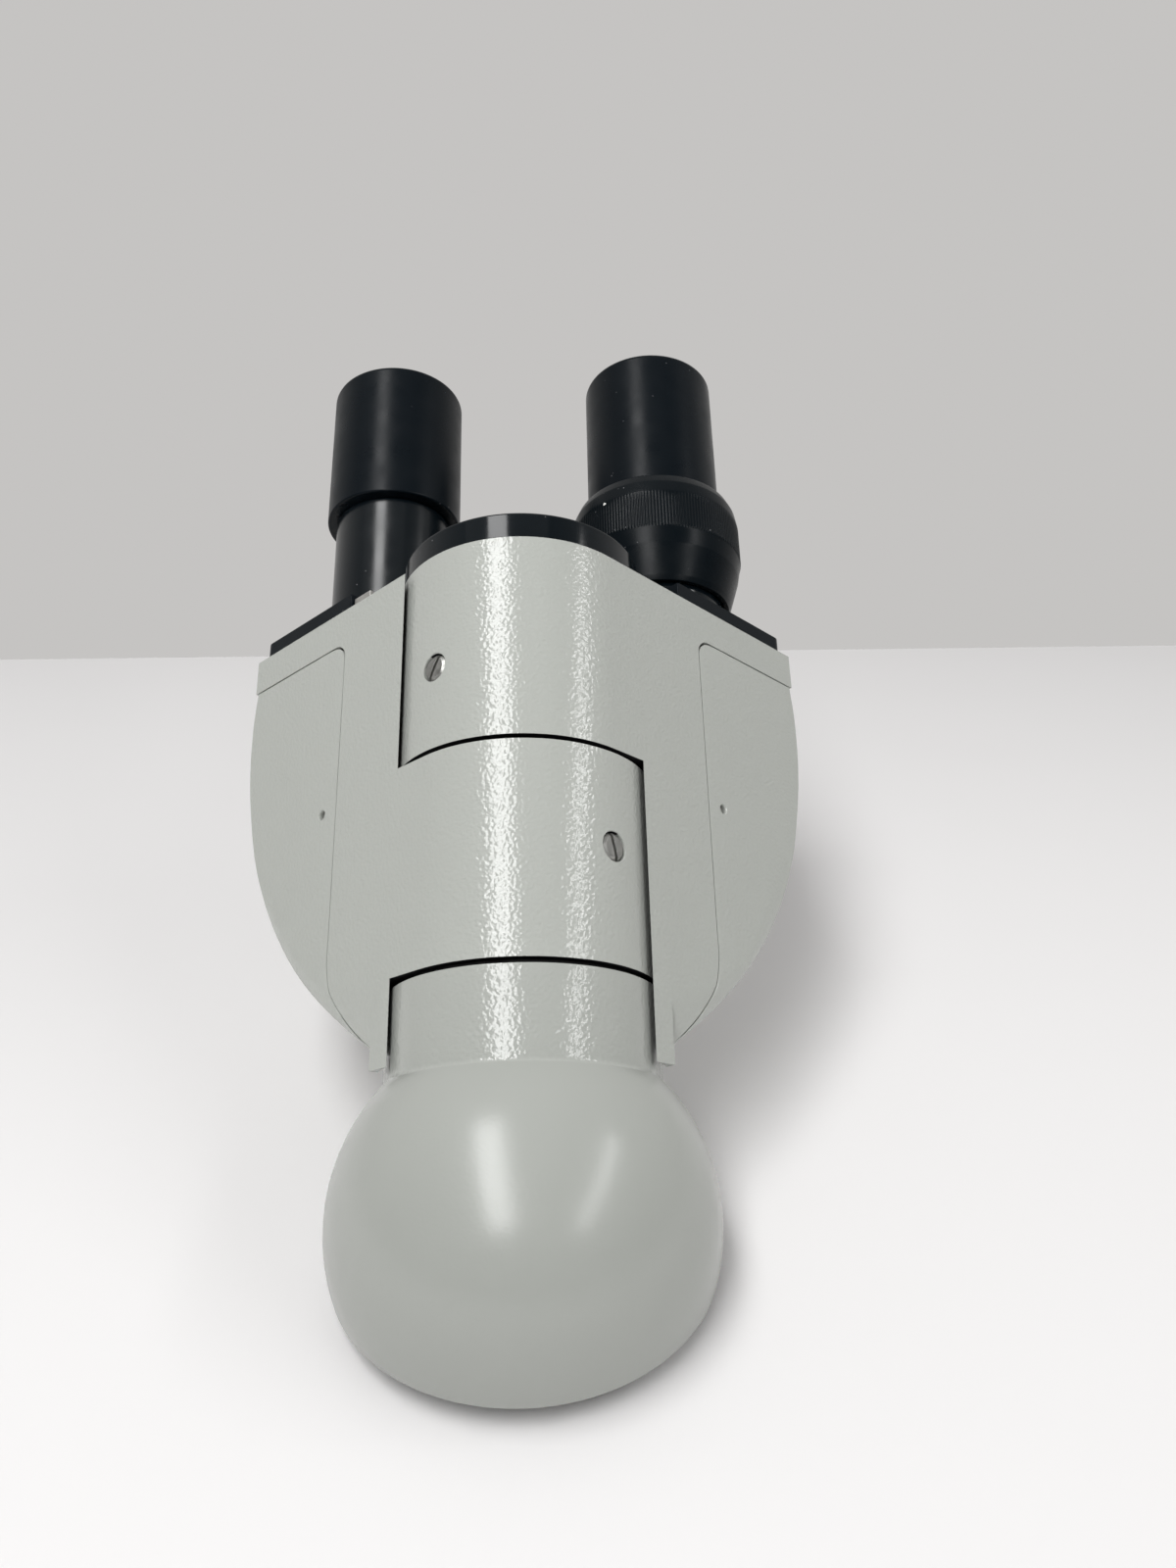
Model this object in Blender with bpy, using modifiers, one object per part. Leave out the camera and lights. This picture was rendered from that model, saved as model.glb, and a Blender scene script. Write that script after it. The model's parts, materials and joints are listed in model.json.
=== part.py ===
"""An inclined binocular head for a laboratory microscope, in metres, +Z up.

The origin is the centre of the dovetail's underside, where the head seats on a microscope stand. The domed
base turns the light through 45 degrees, along a hinge that leans towards +Y. Two prism wings swing about
that hinge in opposite directions, which sets the distance between the eyepieces. +X is the right-hand wing.
"""

import math

import bmesh
import bpy

MM = 0.001
GAP = 0.3 * MM  # between pieces that touch on the real object

# Base: a sphere with a flat underside, standing on a round dovetail
DOVETAIL_HEIGHT = 4.0 * MM
DOVETAIL_RADIUS = 25.0 * MM
DOVETAIL_SLOPE = math.radians(30)
LIGHT_ENTRY_RADIUS = 14.0 * MM
SEAT_Z = DOVETAIL_HEIGHT + GAP
DOME_RADIUS = 34.0 * MM
DOME_CENTRE_Z = SEAT_Z + 6.0 * MM
DOME_WALL = 3.5 * MM
NECK_FILLET = 1.5 * MM
BASE_PLATE_RADIUS = 29.5 * MM
BASE_PLATE_THICKNESS = 4.0 * MM
BASE_SCREW_CIRCLE = 26.8 * MM
BASE_SCREW_SHANK, BASE_SCREW_HEAD = 1.4 * MM, 2.2 * MM  # radii
DOVETAIL_SCREW_CIRCLE = 18.5 * MM
DOVETAIL_SCREW_SHANK, DOVETAIL_SCREW_HEAD = 1.1 * MM, 2.3 * MM
SCREW_SINK = 0.3 * MM  # a screw's head below the face, and the play round it

# Hinge: heights are measured along its axis from the centre of the sphere
HINGE_LEAN = math.radians(45)
HINGE_RADIUS = 25.0 * MM
HINGE_BORE = 21.5 * MM
HINGE_TOP = 123.5 * MM
LOWER_SPLIT = 39.8 * MM
UPPER_SPLIT = 81.0 * MM
SPLIT_GAP = 0.9 * MM
SWING_CLEARANCE = 26.2 * MM
TUBE_SHAFT_RADIUS = 18.5 * MM
TUBE_SHAFT_BORE = 16.5 * MM
TUBE_SHAFT_BOTTOM = 26.0 * MM
TUBE_SHAFT_TOP = 89.0 * MM
ROLLER_RADIUS = 2.2 * MM
SCALE_DISC_RADIUS = 24.5 * MM
SCALE_DISC_TOP = 6.0 * MM  # above the top of the hinge

# Wings: t runs outward along the wing's front face, from the line where it touches the hinge cylinder
WING_SWEEP = math.radians(44.35)
WING_BACK = 12.0 * MM  # behind the hinge axis
WING_WALL = 3.0 * MM
FRAME_EDGE = 26.7 * MM
FLANGE_END = 59.5 * MM
FLANGE_THICKNESS = 8.0 * MM
LEG_EDGE = 12.6 * MM
LEG_BOTTOM = 24.8 * MM
COVER_JOINT = 0.4 * MM
COVER_WALL = 2.4 * MM
JOINT_CORNER = 3.5 * MM
TUBE_OFFSET = 38.3 * MM  # eye tube axis, along t
TUBE_FORWARD = 4.9 * MM  # eye tube axis, in front of the hinge axis

# Eye tubes and eyepieces: heights are measured from the top of the hinge
TUBE_RADIUS = 13.3 * MM
TUBE_BORE = 11.9 * MM
TUBE_TOP = (35.0 * MM, 38.3 * MM)  # left, right
TUBE_FOOT = -7.0 * MM
GUIDE_RADIUS = TUBE_RADIUS + 1.6 * MM  # the fixed tube that the diopter ring runs on
GUIDE_TOP = 30.0 * MM
FOCUS_TRAVEL = 3.4 * MM  # each way
DIOPTER_FOOT = 10.4 * MM
KNURL_RADIUS = 19.7 * MM
EYEPIECE_RADIUS = 15.45 * MM
EYEPIECE_LENGTH = 35.8 * MM
SLEEVE_RADIUS = 11.6 * MM
PLATE_THICKNESS = 3.3 * MM

# Prisms
CUBE = 20.0 * MM
BENCH = 2.0 * MM
LEFT_BENCH_Z = 54.0 * MM
RIGHT_BENCH_Z = 89.6 * MM
DEFLECTOR_Z = 10.0 * MM  # its lower face, above the centre of the sphere

ROUND = 40  # sides of the large turned pieces
MEDIUM = 24
SMALL = 10


def clear_scene():
    for obj in list(bpy.data.objects):
        bpy.data.objects.remove(obj)


def collection(name):
    made = bpy.data.collections.new(name)
    bpy.context.scene.collection.children.link(made)
    return made


def material(name, colour, roughness, metallic=0.0, transmission=0.0):
    made = bpy.data.materials.new(name)
    made.use_nodes = True
    shader = made.node_tree.nodes["Principled BSDF"]
    shader.inputs["Base Color"].default_value = (*colour, 1.0)
    shader.inputs["Roughness"].default_value = roughness
    shader.inputs["Metallic"].default_value = metallic
    shader.inputs["Transmission Weight"].default_value = transmission
    return made


def frame(name, parent=None, location=(0, 0, 0), rotation=(0, 0, 0)):
    """An empty that carries the pieces of one axis system."""
    made = bpy.data.objects.new(name, None)
    parts.objects.link(made)
    made.parent = parent
    made.location = location
    made.rotation_euler = rotation
    return made


def add(name, mesh, parent, look, location=(0, 0, 0), rotation=(0, 0, 0)):
    """A piece with its material, or a helper for a Boolean where look is None."""
    made = bpy.data.objects.new(name, mesh)
    (parts if look else cutters).objects.link(made)
    made.parent = parent
    made.location = location
    made.rotation_euler = rotation
    if look:
        mesh.materials.append(look)
        mesh.shade_smooth()
        mesh.set_sharp_from_angle(angle=math.radians(30))
    else:
        made.hide_render = True
        made.display_type = "WIRE"
    return made


def mesh_from(build, name):
    bm = bmesh.new()
    build(bm)
    mesh = bpy.data.meshes.new(name)
    bm.to_mesh(mesh)
    bm.free()
    return mesh


def cylinder(name, radius, low, high, parent, look=None, segments=MEDIUM, **place):
    """A solid cylinder along local Z."""

    def build(bm):
        bmesh.ops.create_cone(
            bm,
            cap_ends=True,
            segments=segments,
            radius1=radius,
            radius2=radius,
            depth=high - low,
        )
        bmesh.ops.translate(bm, vec=(0, 0, (low + high) / 2), verts=bm.verts)

    return add(name, mesh_from(build, name), parent, look, **place)


def box(name, low, high, parent, look=None, **place):
    """A box between two corners."""

    def build(bm):
        bmesh.ops.create_cube(bm, size=1)
        bmesh.ops.scale(bm, vec=[abs(b - a) for a, b in zip(low, high)], verts=bm.verts)
        bmesh.ops.translate(bm, vec=[(a + b) / 2 for a, b in zip(low, high)], verts=bm.verts)

    return add(name, mesh_from(build, name), parent, look, **place)


def turned(name, profile, parent, look=None, segments=ROUND, **place):
    """A turned piece. The profile's (radius, height) points run down the outside, then up the inside."""
    mesh = bpy.data.meshes.new(name)
    closed = min(radius for radius, _ in profile) > 0
    edges = [(i, i + 1) for i in range(len(profile) - 1)]
    if closed:
        edges.append((len(profile) - 1, 0))
    mesh.from_pydata([(radius, 0, height) for radius, height in profile], edges, [])
    made = add(name, mesh, parent, look, **place)
    screw = made.modifiers.new("Turn", "SCREW")
    screw.axis = "Z"
    screw.steps = screw.render_steps = segments
    screw.use_merge_vertices = True
    screw.merge_threshold = 0.001 * MM
    screw.use_smooth_shade = bool(look)
    return made


def plate_mesh(name, outlines, low, high):
    """A flat plate in XY between two heights. A second outline is a hole."""
    curve = bpy.data.curves.new(name, "CURVE")
    curve.dimensions = "2D"
    curve.fill_mode = "BOTH"
    curve.extrude = (high - low) / 2
    for outline in outlines:
        spline = curve.splines.new("POLY")
        spline.points.add(len(outline) - 1)
        spline.use_cyclic_u = True
        for point, (x, y) in zip(spline.points, outline):
            point.co = (x, y, 0, 1)
    guide = bpy.data.objects.new(name, curve)
    cutters.objects.link(guide)
    graph = bpy.context.evaluated_depsgraph_get()
    mesh = bpy.data.meshes.new_from_object(guide.evaluated_get(graph))
    bpy.data.objects.remove(guide)
    bm = bmesh.new()
    bm.from_mesh(mesh)
    bmesh.ops.translate(bm, vec=(0, 0, (low + high) / 2), verts=bm.verts)
    bmesh.ops.remove_doubles(bm, verts=bm.verts, dist=0.001 * MM)
    bmesh.ops.recalc_face_normals(bm, faces=bm.faces)
    bm.to_mesh(mesh)
    bm.free()
    return mesh


def plate(name, outlines, low, high, parent, look=None, **place):
    return add(name, plate_mesh(name, outlines, low, high), parent, look, **place)


def wing_plate(name, outline, front, back, side, parent, look=None):
    """A plate parallel to the wing's face: its outline in t and height, its depth forward of the axis."""
    mesh = plate_mesh(name, [outline], back, front)
    bm = bmesh.new()
    bm.from_mesh(mesh)
    for vertex in bm.verts:
        t, height, forward = vertex.co
        vertex.co = (side * t, -forward, height)
    bmesh.ops.recalc_face_normals(bm, faces=bm.faces)
    bm.to_mesh(mesh)
    bm.free()
    return add(name, mesh, parent, look)


def boolean(target, operation, *others):
    for other in others:
        modifier = target.modifiers.new(other.name, "BOOLEAN")
        modifier.operation = operation
        modifier.object = other
    return target


def cut(target, *cutting):
    return boolean(target, "DIFFERENCE", *cutting)


def join(target, *joined):
    return boolean(target, "UNION", *joined)


def arc(centre, radius, start, end, steps):
    """Points on an arc, its angles in degrees."""
    angles = [math.radians(start + (end - start) * i / steps) for i in range(steps + 1)]
    return [(centre[0] + radius * math.cos(a), centre[1] + radius * math.sin(a)) for a in angles]


def ring(outer, inner, low, high):
    """The profile of a plain turned ring."""
    return [(outer, high), (outer, low), (inner, low), (inner, high)]


def tube_place(side):
    """Where the eye tube's axis crosses the wing frame."""
    return (side * TUBE_OFFSET, -TUBE_FORWARD, 0)


# ---------------------------------------------------------------- base


def dome_profile(radius, neck, fillet, top):
    """A sphere that runs into a cylinder through a small fillet, closed at the far pole."""
    points = [(0, top), (neck, top)]
    height = math.sqrt((radius + fillet) ** 2 - (neck + fillet) ** 2)
    meet = math.degrees(math.atan2(height, neck + fillet))
    points += arc((neck + fillet, height), fillet, 180, 180 + meet, 2)
    points += arc((0, 0), radius, meet - 8, -82, 10)
    return points + [(0, -radius)]


def make_base(base, hinge):
    dome = turned(
        "dome_housing",
        dome_profile(DOME_RADIUS, HINGE_RADIUS, NECK_FILLET, LOWER_SPLIT - SPLIT_GAP / 2),
        hinge,
        GREY_PAINT,
    )
    hollow = turned(
        "cut_dome_hollow", dome_profile(DOME_RADIUS - DOME_WALL, HINGE_BORE, NECK_FILLET, 60 * MM), hinge
    )
    underside = box("cut_dome_underside", (-50 * MM, -50 * MM, -60 * MM), (50 * MM, 50 * MM, SEAT_Z), base)
    cut(dome, hollow)
    boss_low, boss_high = SEAT_Z + BASE_PLATE_THICKNESS + GAP, SEAT_Z + BASE_PLATE_THICKNESS + 7 * MM
    screw_places = arc((0, 0), BASE_SCREW_CIRCLE, 90, 330, 2)
    screw_hole = BASE_SCREW_SHANK + SCREW_SINK
    for i, (x, y) in enumerate(screw_places, 1):
        there = dict(segments=SMALL, location=(x, y, 0))
        join(dome, cylinder(f"join_boss_{i}", 3 * BASE_SCREW_SHANK, boss_low, boss_high, base, **there))
        cut(dome, cylinder(f"cut_boss_{i}", screw_hole, 0, boss_low + 6 * MM, base, **there))
    cut(dome, underside)

    plate_top = SEAT_Z + BASE_PLATE_THICKNESS
    base_plate = turned(
        "base_plate", ring(BASE_PLATE_RADIUS, LIGHT_ENTRY_RADIUS, SEAT_Z, plate_top), base, DARK_METAL
    )
    for i, (x, y) in enumerate(screw_places, 1):
        there = dict(segments=SMALL, location=(x, y, 0))
        through = cylinder(f"cut_plate_{i}", screw_hole, 0, 20 * MM, base, **there)
        head_top = SEAT_Z + 1.9 * MM
        head_room = BASE_SCREW_HEAD + SCREW_SINK
        sink = cylinder(f"sink_plate_{i}", head_room, 0, head_top + SCREW_SINK, base, **there)
        cut(base_plate, sink, through)
        screw_profile = [
            (0, SEAT_Z + 9 * MM),
            (BASE_SCREW_SHANK, SEAT_Z + 9 * MM),
            (BASE_SCREW_SHANK, head_top),
            (BASE_SCREW_HEAD, head_top),
            (BASE_SCREW_HEAD, SEAT_Z + 0.4 * MM),
            (0, SEAT_Z + 0.4 * MM),
        ]
        turned(f"base_screw_{i}", screw_profile, base, STEEL, **there)

    top_radius = DOVETAIL_RADIUS - DOVETAIL_HEIGHT * math.tan(DOVETAIL_SLOPE)
    dovetail = turned(
        "dovetail_ring",
        [
            (top_radius, DOVETAIL_HEIGHT),
            (DOVETAIL_RADIUS, 0.6 * MM),
            (DOVETAIL_RADIUS - 0.3 * MM, 0),
            (LIGHT_ENTRY_RADIUS, 0),
            (LIGHT_ENTRY_RADIUS, DOVETAIL_HEIGHT),
        ],
        base,
        STEEL,
    )
    for i, (x, y) in enumerate(arc((0, 0), DOVETAIL_SCREW_CIRCLE, 30, 270, 2), 1):
        there = dict(segments=SMALL, location=(x, y, 0))
        shank_room = DOVETAIL_SCREW_SHANK + SCREW_SINK
        through = cylinder(f"cut_ring_{i}", shank_room, -1 * MM, 20 * MM, base, **there)
        head_top = 1.5 * MM
        head_room = DOVETAIL_SCREW_HEAD + SCREW_SINK
        sink = cylinder(f"sink_ring_{i}", head_room, -1 * MM, head_top + SCREW_SINK, base, **there)
        cut(dovetail, sink, through)
        cut(base_plate, through)
        screw_profile = [
            (0, SEAT_Z + 3 * MM),
            (DOVETAIL_SCREW_SHANK, SEAT_Z + 3 * MM),
            (DOVETAIL_SCREW_SHANK, head_top),
            (DOVETAIL_SCREW_HEAD, head_top),
            (DOVETAIL_SCREW_HEAD, SCREW_SINK),
            (0, SCREW_SINK),
        ]
        turned(f"dovetail_screw_{i}", screw_profile, base, STEEL, **there)

    cell_low, ledge = 1.0 * MM, 2.6 * MM
    cell_profile = [
        (LIGHT_ENTRY_RADIUS - GAP, plate_top),
        (LIGHT_ENTRY_RADIUS - GAP, cell_low),
        (11.2 * MM, cell_low),
        (11.2 * MM, ledge),
        (12.8 * MM, ledge),
        (12.8 * MM, plate_top),
    ]
    turned("tube_lens_cell", cell_profile, base, BLACK_METAL, MEDIUM)
    lens("tube_lens", 12.5 * MM, ledge + GAP, 2.4 * MM, 1.0 * MM, base)
    make_deflector(base)
    make_hinge_shaft(hinge)


def lens(name, radius, low, edge, bulge, parent, **place):
    """A lens with a flat lower face and a domed upper one, its rim `edge` thick."""
    sphere = (radius**2 + bulge**2) / (2 * bulge)
    spread = math.degrees(math.asin(radius / sphere))
    crown = arc((0, low + edge + bulge - sphere), sphere, 90, 90 - spread, 3)
    profile = [(0, crown[0][1])] + crown[1:] + [(radius, low), (0, low)]
    return turned(name, profile, parent, GLASS, MEDIUM, **place)


def make_deflector(base):
    """The 45 degree prism: light meets its sloping top, then its lower face, and leaves along the hinge."""
    half = 9.5 * MM
    lower = DOME_CENTRE_Z + DEFLECTOR_Z
    slope = math.tan(HINGE_LEAN / 2)
    ridge = lower + DEFLECTOR_Z  # the sloping top, over the light entry
    leave = math.sqrt(2) * 24 * MM + DOME_CENTRE_Z  # y + z on the face that the light leaves by
    corner_y = (leave - ridge) / (1 + slope)
    outline = [
        (-half, lower),
        (leave - lower, lower),
        (corner_y, leave - corner_y),
        (-half, ridge - slope * half),
    ]
    upright = dict(rotation=(math.pi / 2, 0, math.pi / 2))  # local X to +Y, local Y to +Z
    plate("deflecting_prism", [outline], -10 * MM, 10 * MM, base, GLASS, **upright)

    floor_high = lower - GAP
    floor_low = floor_high - 2 * MM
    width = 13.5 * MM
    cradle = box(
        "prism_cradle", (-width, -14 * MM, floor_low), (width, 23.5 * MM, floor_high), base, BLACK_METAL
    )
    foot_low = SEAT_Z + BASE_PLATE_THICKNESS + GAP
    for x in (-12 * MM, 12 * MM):
        inner, outer = (x - 1.6 * MM, x + 1.4 * MM) if x > 0 else (x - 1.4 * MM, x + 1.6 * MM)
        name = "right" if x > 0 else "left"
        cheek = box(
            f"join_{name}_cheek",
            (inner, -12 * MM, floor_low + 0.5 * MM),
            (outer, 19 * MM, floor_high + 6 * MM),
            base,
        )
        join(cradle, cheek)
        for y in (-11 * MM, 15 * MM):
            foot = box(
                f"join_{name}_foot_{'front' if y < 0 else 'back'}",
                (x - 1.4 * MM, y, foot_low),
                (x + 1.4 * MM, y + 4 * MM, floor_low + 0.7 * MM),
                base,
            )
            join(cradle, foot)
    aperture = cylinder("cut_cradle_aperture", 9.0 * MM, floor_low - 5 * MM, lower, base)
    cut(cradle, aperture)


def make_hinge_shaft(hinge):
    """The hollow shaft in the base knuckle, on which both wings turn round the light path."""
    collar_top = LOWER_SPLIT - 1.5 * MM
    shaft = turned(
        "hinge_shaft",
        [
            (TUBE_SHAFT_RADIUS, TUBE_SHAFT_TOP),
            (TUBE_SHAFT_RADIUS, collar_top),
            (HINGE_BORE - GAP, collar_top),
            (HINGE_BORE - GAP, TUBE_SHAFT_BOTTOM),
            (TUBE_SHAFT_BORE, TUBE_SHAFT_BOTTOM),
            (TUBE_SHAFT_BORE, TUBE_SHAFT_TOP),
        ],
        hinge,
        STEEL,
        MEDIUM,
    )
    window = box(
        "cut_shaft_window",
        (-40 * MM, -13 * MM, LEFT_BENCH_Z - 1 * MM),
        (-4 * MM, 40 * MM, LEFT_BENCH_Z + BENCH + CUBE + 2 * MM),
        hinge,
    )
    axle_hole = cylinder(
        "cut_shaft_axle", 1.3 * MM, 10 * MM, 30 * MM, hinge, segments=SMALL,
        location=(0, 0, UPPER_SPLIT), rotation=(math.pi / 2, 0, 0),
    )
    cut(shaft, window, axle_hole)
    for name, split in (("lower", LOWER_SPLIT), ("upper", UPPER_SPLIT)):
        half = SPLIT_GAP / 2 - 0.2 * MM
        washer = ring(HINGE_RADIUS - 1.3 * MM, HINGE_BORE + 0.4 * MM, split - half, split + half)
        turned(f"{name}_hinge_washer", washer, hinge, BRASS, MEDIUM)
    turned_pin = [(0, 18.2 * MM), (1.0 * MM, 18.2 * MM), (1.0 * MM, 15.6 * MM), (0, 15.6 * MM)]
    forward = dict(location=(0, 0, UPPER_SPLIT), rotation=(math.pi / 2, 0, 0))
    turned("roller_axle", turned_pin, hinge, STEEL, SMALL, **forward)


# ---------------------------------------------------------------- wings


def joint_line(gap):
    """The joint between frame and cover, from the foot of the wing up and out along the flange."""
    edge = FRAME_EDGE + gap
    shelf = HINGE_TOP - FLANGE_THICKNESS - gap
    foot = [(LEG_EDGE + gap, 27.6 * MM), (17.5 * MM + gap, 31.3 * MM), (21.9 * MM + gap, 35.6 * MM)]
    foot += [(25.2 * MM + gap, 40.6 * MM), (edge, 45.5 * MM)]
    corner = arc((edge + JOINT_CORNER, shelf - JOINT_CORNER), JOINT_CORNER, 180, 90, 4)
    return foot + corner


def cover_outline():
    """The outer edge of the cover, from the flange down to the foot of the wing."""
    widths = [
        (58.6, 115.5),
        (59.6, 107.0),
        (59.4, 96.5),
        (57.8, 86.5),
        (54.2, 73.5),
        (49.6, 63.0),
        (43.2, 53.3),
        (34.2, 43.9),
        (24.0, 35.3),
        (14.6, 28.6),
    ]
    return [(t * MM, height * MM) for t, height in widths]


def edge_break(height):
    """Width of the bevel round the cover's rim, which widens towards the foot."""
    start, full = 82 * MM, 44 * MM
    growth = min(max((start - height) / (start - full), 0), 1)
    return 0.5 * MM + 3.6 * MM * growth


def width_to(line, point):
    """How far a point is from a line of points."""
    found = []
    for (ax, ay), (bx, by) in zip(line, line[1:]):
        dx, dy = bx - ax, by - ay
        along = ((point[0] - ax) * dx + (point[1] - ay) * dy) / (dx * dx + dy * dy)
        along = min(max(along, 0), 1)
        found.append(math.hypot(point[0] - ax - along * dx, point[1] - ay - along * dy))
    return min(found)


def drawn_in(points, distance):
    """A line of points moved to its right, each by the distance that its place asks for."""
    moved = []
    for i, point in enumerate(points):
        before, after = points[max(i - 1, 0)], points[min(i + 1, len(points) - 1)]
        dx, dy = after[0] - before[0], after[1] - before[1]
        step = distance(point) / math.hypot(dx, dy)
        moved.append((point[0] + dy * step, point[1] - dx * step))
    return moved


def make_cover(side, name, wing, hinge):
    """The U-shaped cover: a front and a back face, and the curved rim between them."""
    front, back = HINGE_RADIUS, -WING_BACK
    rim = cover_outline()
    inner = joint_line(COVER_JOINT)
    face_rim = drawn_in(rim, lambda point: min(edge_break(point[1]), 0.7 * width_to(inner, point)))
    face_rim[0] = (rim[0][0] - edge_break(rim[0][1]), rim[0][1])
    back_rim = drawn_in(rim, lambda point: min(0.8 * MM, 0.5 * width_to(inner, point)))
    back_rim[0] = (rim[0][0] - 0.8 * MM, rim[0][1])
    sections = (
        (face_rim + inner, front),
        (rim + inner, front - 3.0 * MM),
        (rim + inner, back + 1.0 * MM),
        (back_rim + inner, back),
    )

    def build(bm):
        loops = [
            [bm.verts.new((side * t, -forward, height)) for t, height in points]
            for points, forward in sections
        ]
        for upper, lower in zip(loops, loops[1:]):
            for i in range(len(upper)):
                j = (i + 1) % len(upper)
                bm.faces.new((upper[i], upper[j], lower[j], lower[i]))
        bm.faces.new(loops[0])
        bm.faces.new(loops[-1])
        bmesh.ops.triangulate(bm, faces=bm.faces)
        bmesh.ops.recalc_face_normals(bm, faces=bm.faces)

    cover = add(f"{name}_cover", mesh_from(build, f"{name}_cover"), wing, GREY_PAINT)
    inside = drawn_in(rim, lambda point: COVER_WALL)
    inside[0] = (inside[0][0], HINGE_TOP)
    inside += [(10 * MM, 24 * MM), (10 * MM, HINGE_TOP)]
    cut(cover, cylinder(f"cut_{name}_cover_swing", SWING_CLEARANCE, 0, 60 * MM, hinge, segments=ROUND))
    cut(cover, wing_plate(f"cut_{name}_cover", inside, front - COVER_WALL, back + COVER_WALL, side, wing))
    pin_place = (side * 31.45 * MM, -front, HINGE_TOP - 45.4 * MM)
    upright = dict(location=pin_place, rotation=(math.pi / 2, 0, 0))
    cut(cover, cylinder(f"cut_{name}_cover_pin", 1.0 * MM, -5 * MM, 1 * MM, wing, segments=SMALL, **upright))
    for modifier in cover.modifiers:
        modifier.solver = "MANIFOLD"  # the exact solver loses this loft against the round cutter
    pin = [(0, -0.6 * MM), (0.7 * MM, -0.6 * MM), (0.7 * MM, -4.5 * MM), (0, -4.5 * MM)]
    turned(f"{name}_cover_screw", pin, wing, STEEL, SMALL, **upright)


def make_wing_housing(side, name, wing, hinge, low, high):
    """The cast frame of one wing, with its hinge knuckle between two heights."""
    outline = [(LEG_EDGE, LEG_BOTTOM), (5 * MM, LEG_BOTTOM), (5 * MM, low), (0, low), (0, high)]
    outline += [(5 * MM, high), (5 * MM, HINGE_TOP), (FLANGE_END, HINGE_TOP)]
    outline += [(FLANGE_END, HINGE_TOP - FLANGE_THICKNESS + 0.3 * MM)]
    outline += list(reversed(joint_line(0)))
    if high >= HINGE_TOP:
        outline = [point for point in outline if point not in ((5 * MM, high), (5 * MM, HINGE_TOP))]
    housing = wing_plate(f"{name}_housing", outline, HINGE_RADIUS, -WING_BACK, side, wing, GREY_PAINT)
    sweep_low, sweep_high = 0, 140 * MM
    fine = dict(segments=ROUND)
    if low > LOWER_SPLIT - SPLIT_GAP:
        cut(housing, cylinder(f"cut_{name}_swing_below", SWING_CLEARANCE, sweep_low, low, hinge, **fine))
    if high < HINGE_TOP:
        cut(housing, cylinder(f"cut_{name}_swing_above", SWING_CLEARANCE, high, sweep_high, hinge, **fine))
    join(housing, cylinder(f"join_{name}_knuckle", HINGE_RADIUS, low, high, hinge, **fine))
    cut(housing, cylinder(f"cut_{name}_bore", HINGE_BORE, low - 1 * MM, high + 1 * MM, hinge, **fine))

    # The room for the prisms, open into the cover, and the window from it into the knuckle
    room_low = max(low + 5 * MM, 42 * MM)
    room_high = min(high - 2.5 * MM, HINGE_TOP - FLANGE_THICKNESS - 1 * MM)
    room_front, room_back = HINGE_RADIUS - WING_WALL, -WING_BACK + WING_WALL
    room = box(
        f"cut_{name}_room",
        (side * 20 * MM, -room_front, room_low),
        (side * 60 * MM, -room_back, room_high),
        wing,
    )
    window = box(
        f"cut_{name}_window",
        (side * 8 * MM, -16 * MM, room_low),
        (side * 30 * MM, 8.5 * MM, room_high),
        wing,
    )
    cut(housing, room, window)
    fine["location"] = tube_place(side)
    tube_hole = cylinder(f"cut_{name}_tube_hole", TUBE_RADIUS + GAP, 100 * MM, 140 * MM, wing, **fine)
    cut(housing, tube_hole)

    # The shallow facet on the front, between the leg and the foot of the cover
    facet = [
        (LEG_EDGE, HINGE_TOP - 87 * MM),
        (40 * MM, HINGE_TOP - 77.5 * MM),
        (40 * MM, 20 * MM),
        (LEG_EDGE, 20 * MM),
    ]
    cut(housing, wing_plate(f"cut_{name}_facet", facet, 30 * MM, HINGE_RADIUS - 1.0 * MM, side, wing))
    return housing


def knuckle_screw(name, housing, angle, height, hinge):
    """A slotted screw in a knuckle, at an angle from the front of the hinge towards +X."""
    turn = math.radians(angle)
    reach = HINGE_RADIUS + 0.15 * MM
    place = (math.sin(turn) * reach, -math.cos(turn) * reach, height)
    aim = dict(location=place, rotation=(math.pi / 2, 0, turn))
    head, shank, depth = 2.6 * MM, 1.3 * MM, 2.0 * MM
    seat = cylinder(f"cut_{name}_seat", head + GAP, -depth, depth, hinge, segments=SMALL, **aim)
    hole = cylinder(f"cut_{name}_hole", shank + GAP, -3 * depth, depth, hinge, segments=SMALL, **aim)
    cut(housing, seat)
    cut(housing, hole)
    end = -2.8 * depth
    profile = [
        (0, -0.3 * MM),
        (head - 0.3 * MM, -0.4 * MM),
        (head, -0.7 * MM),
        (head, GAP - depth),
        (shank, GAP - depth),
        (shank, end),
        (0, end),
    ]
    screw = turned(name, profile, hinge, STEEL, SMALL, **aim)
    reach, half = 3 * MM, 0.35 * MM
    slot = box(f"cut_{name}_slot", (-reach, -half, -1.1 * MM), (reach, half, 1 * MM), hinge, **aim)
    slot.rotation_euler.rotate_axis("Z", math.radians(35))
    cut(screw, slot)


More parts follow.
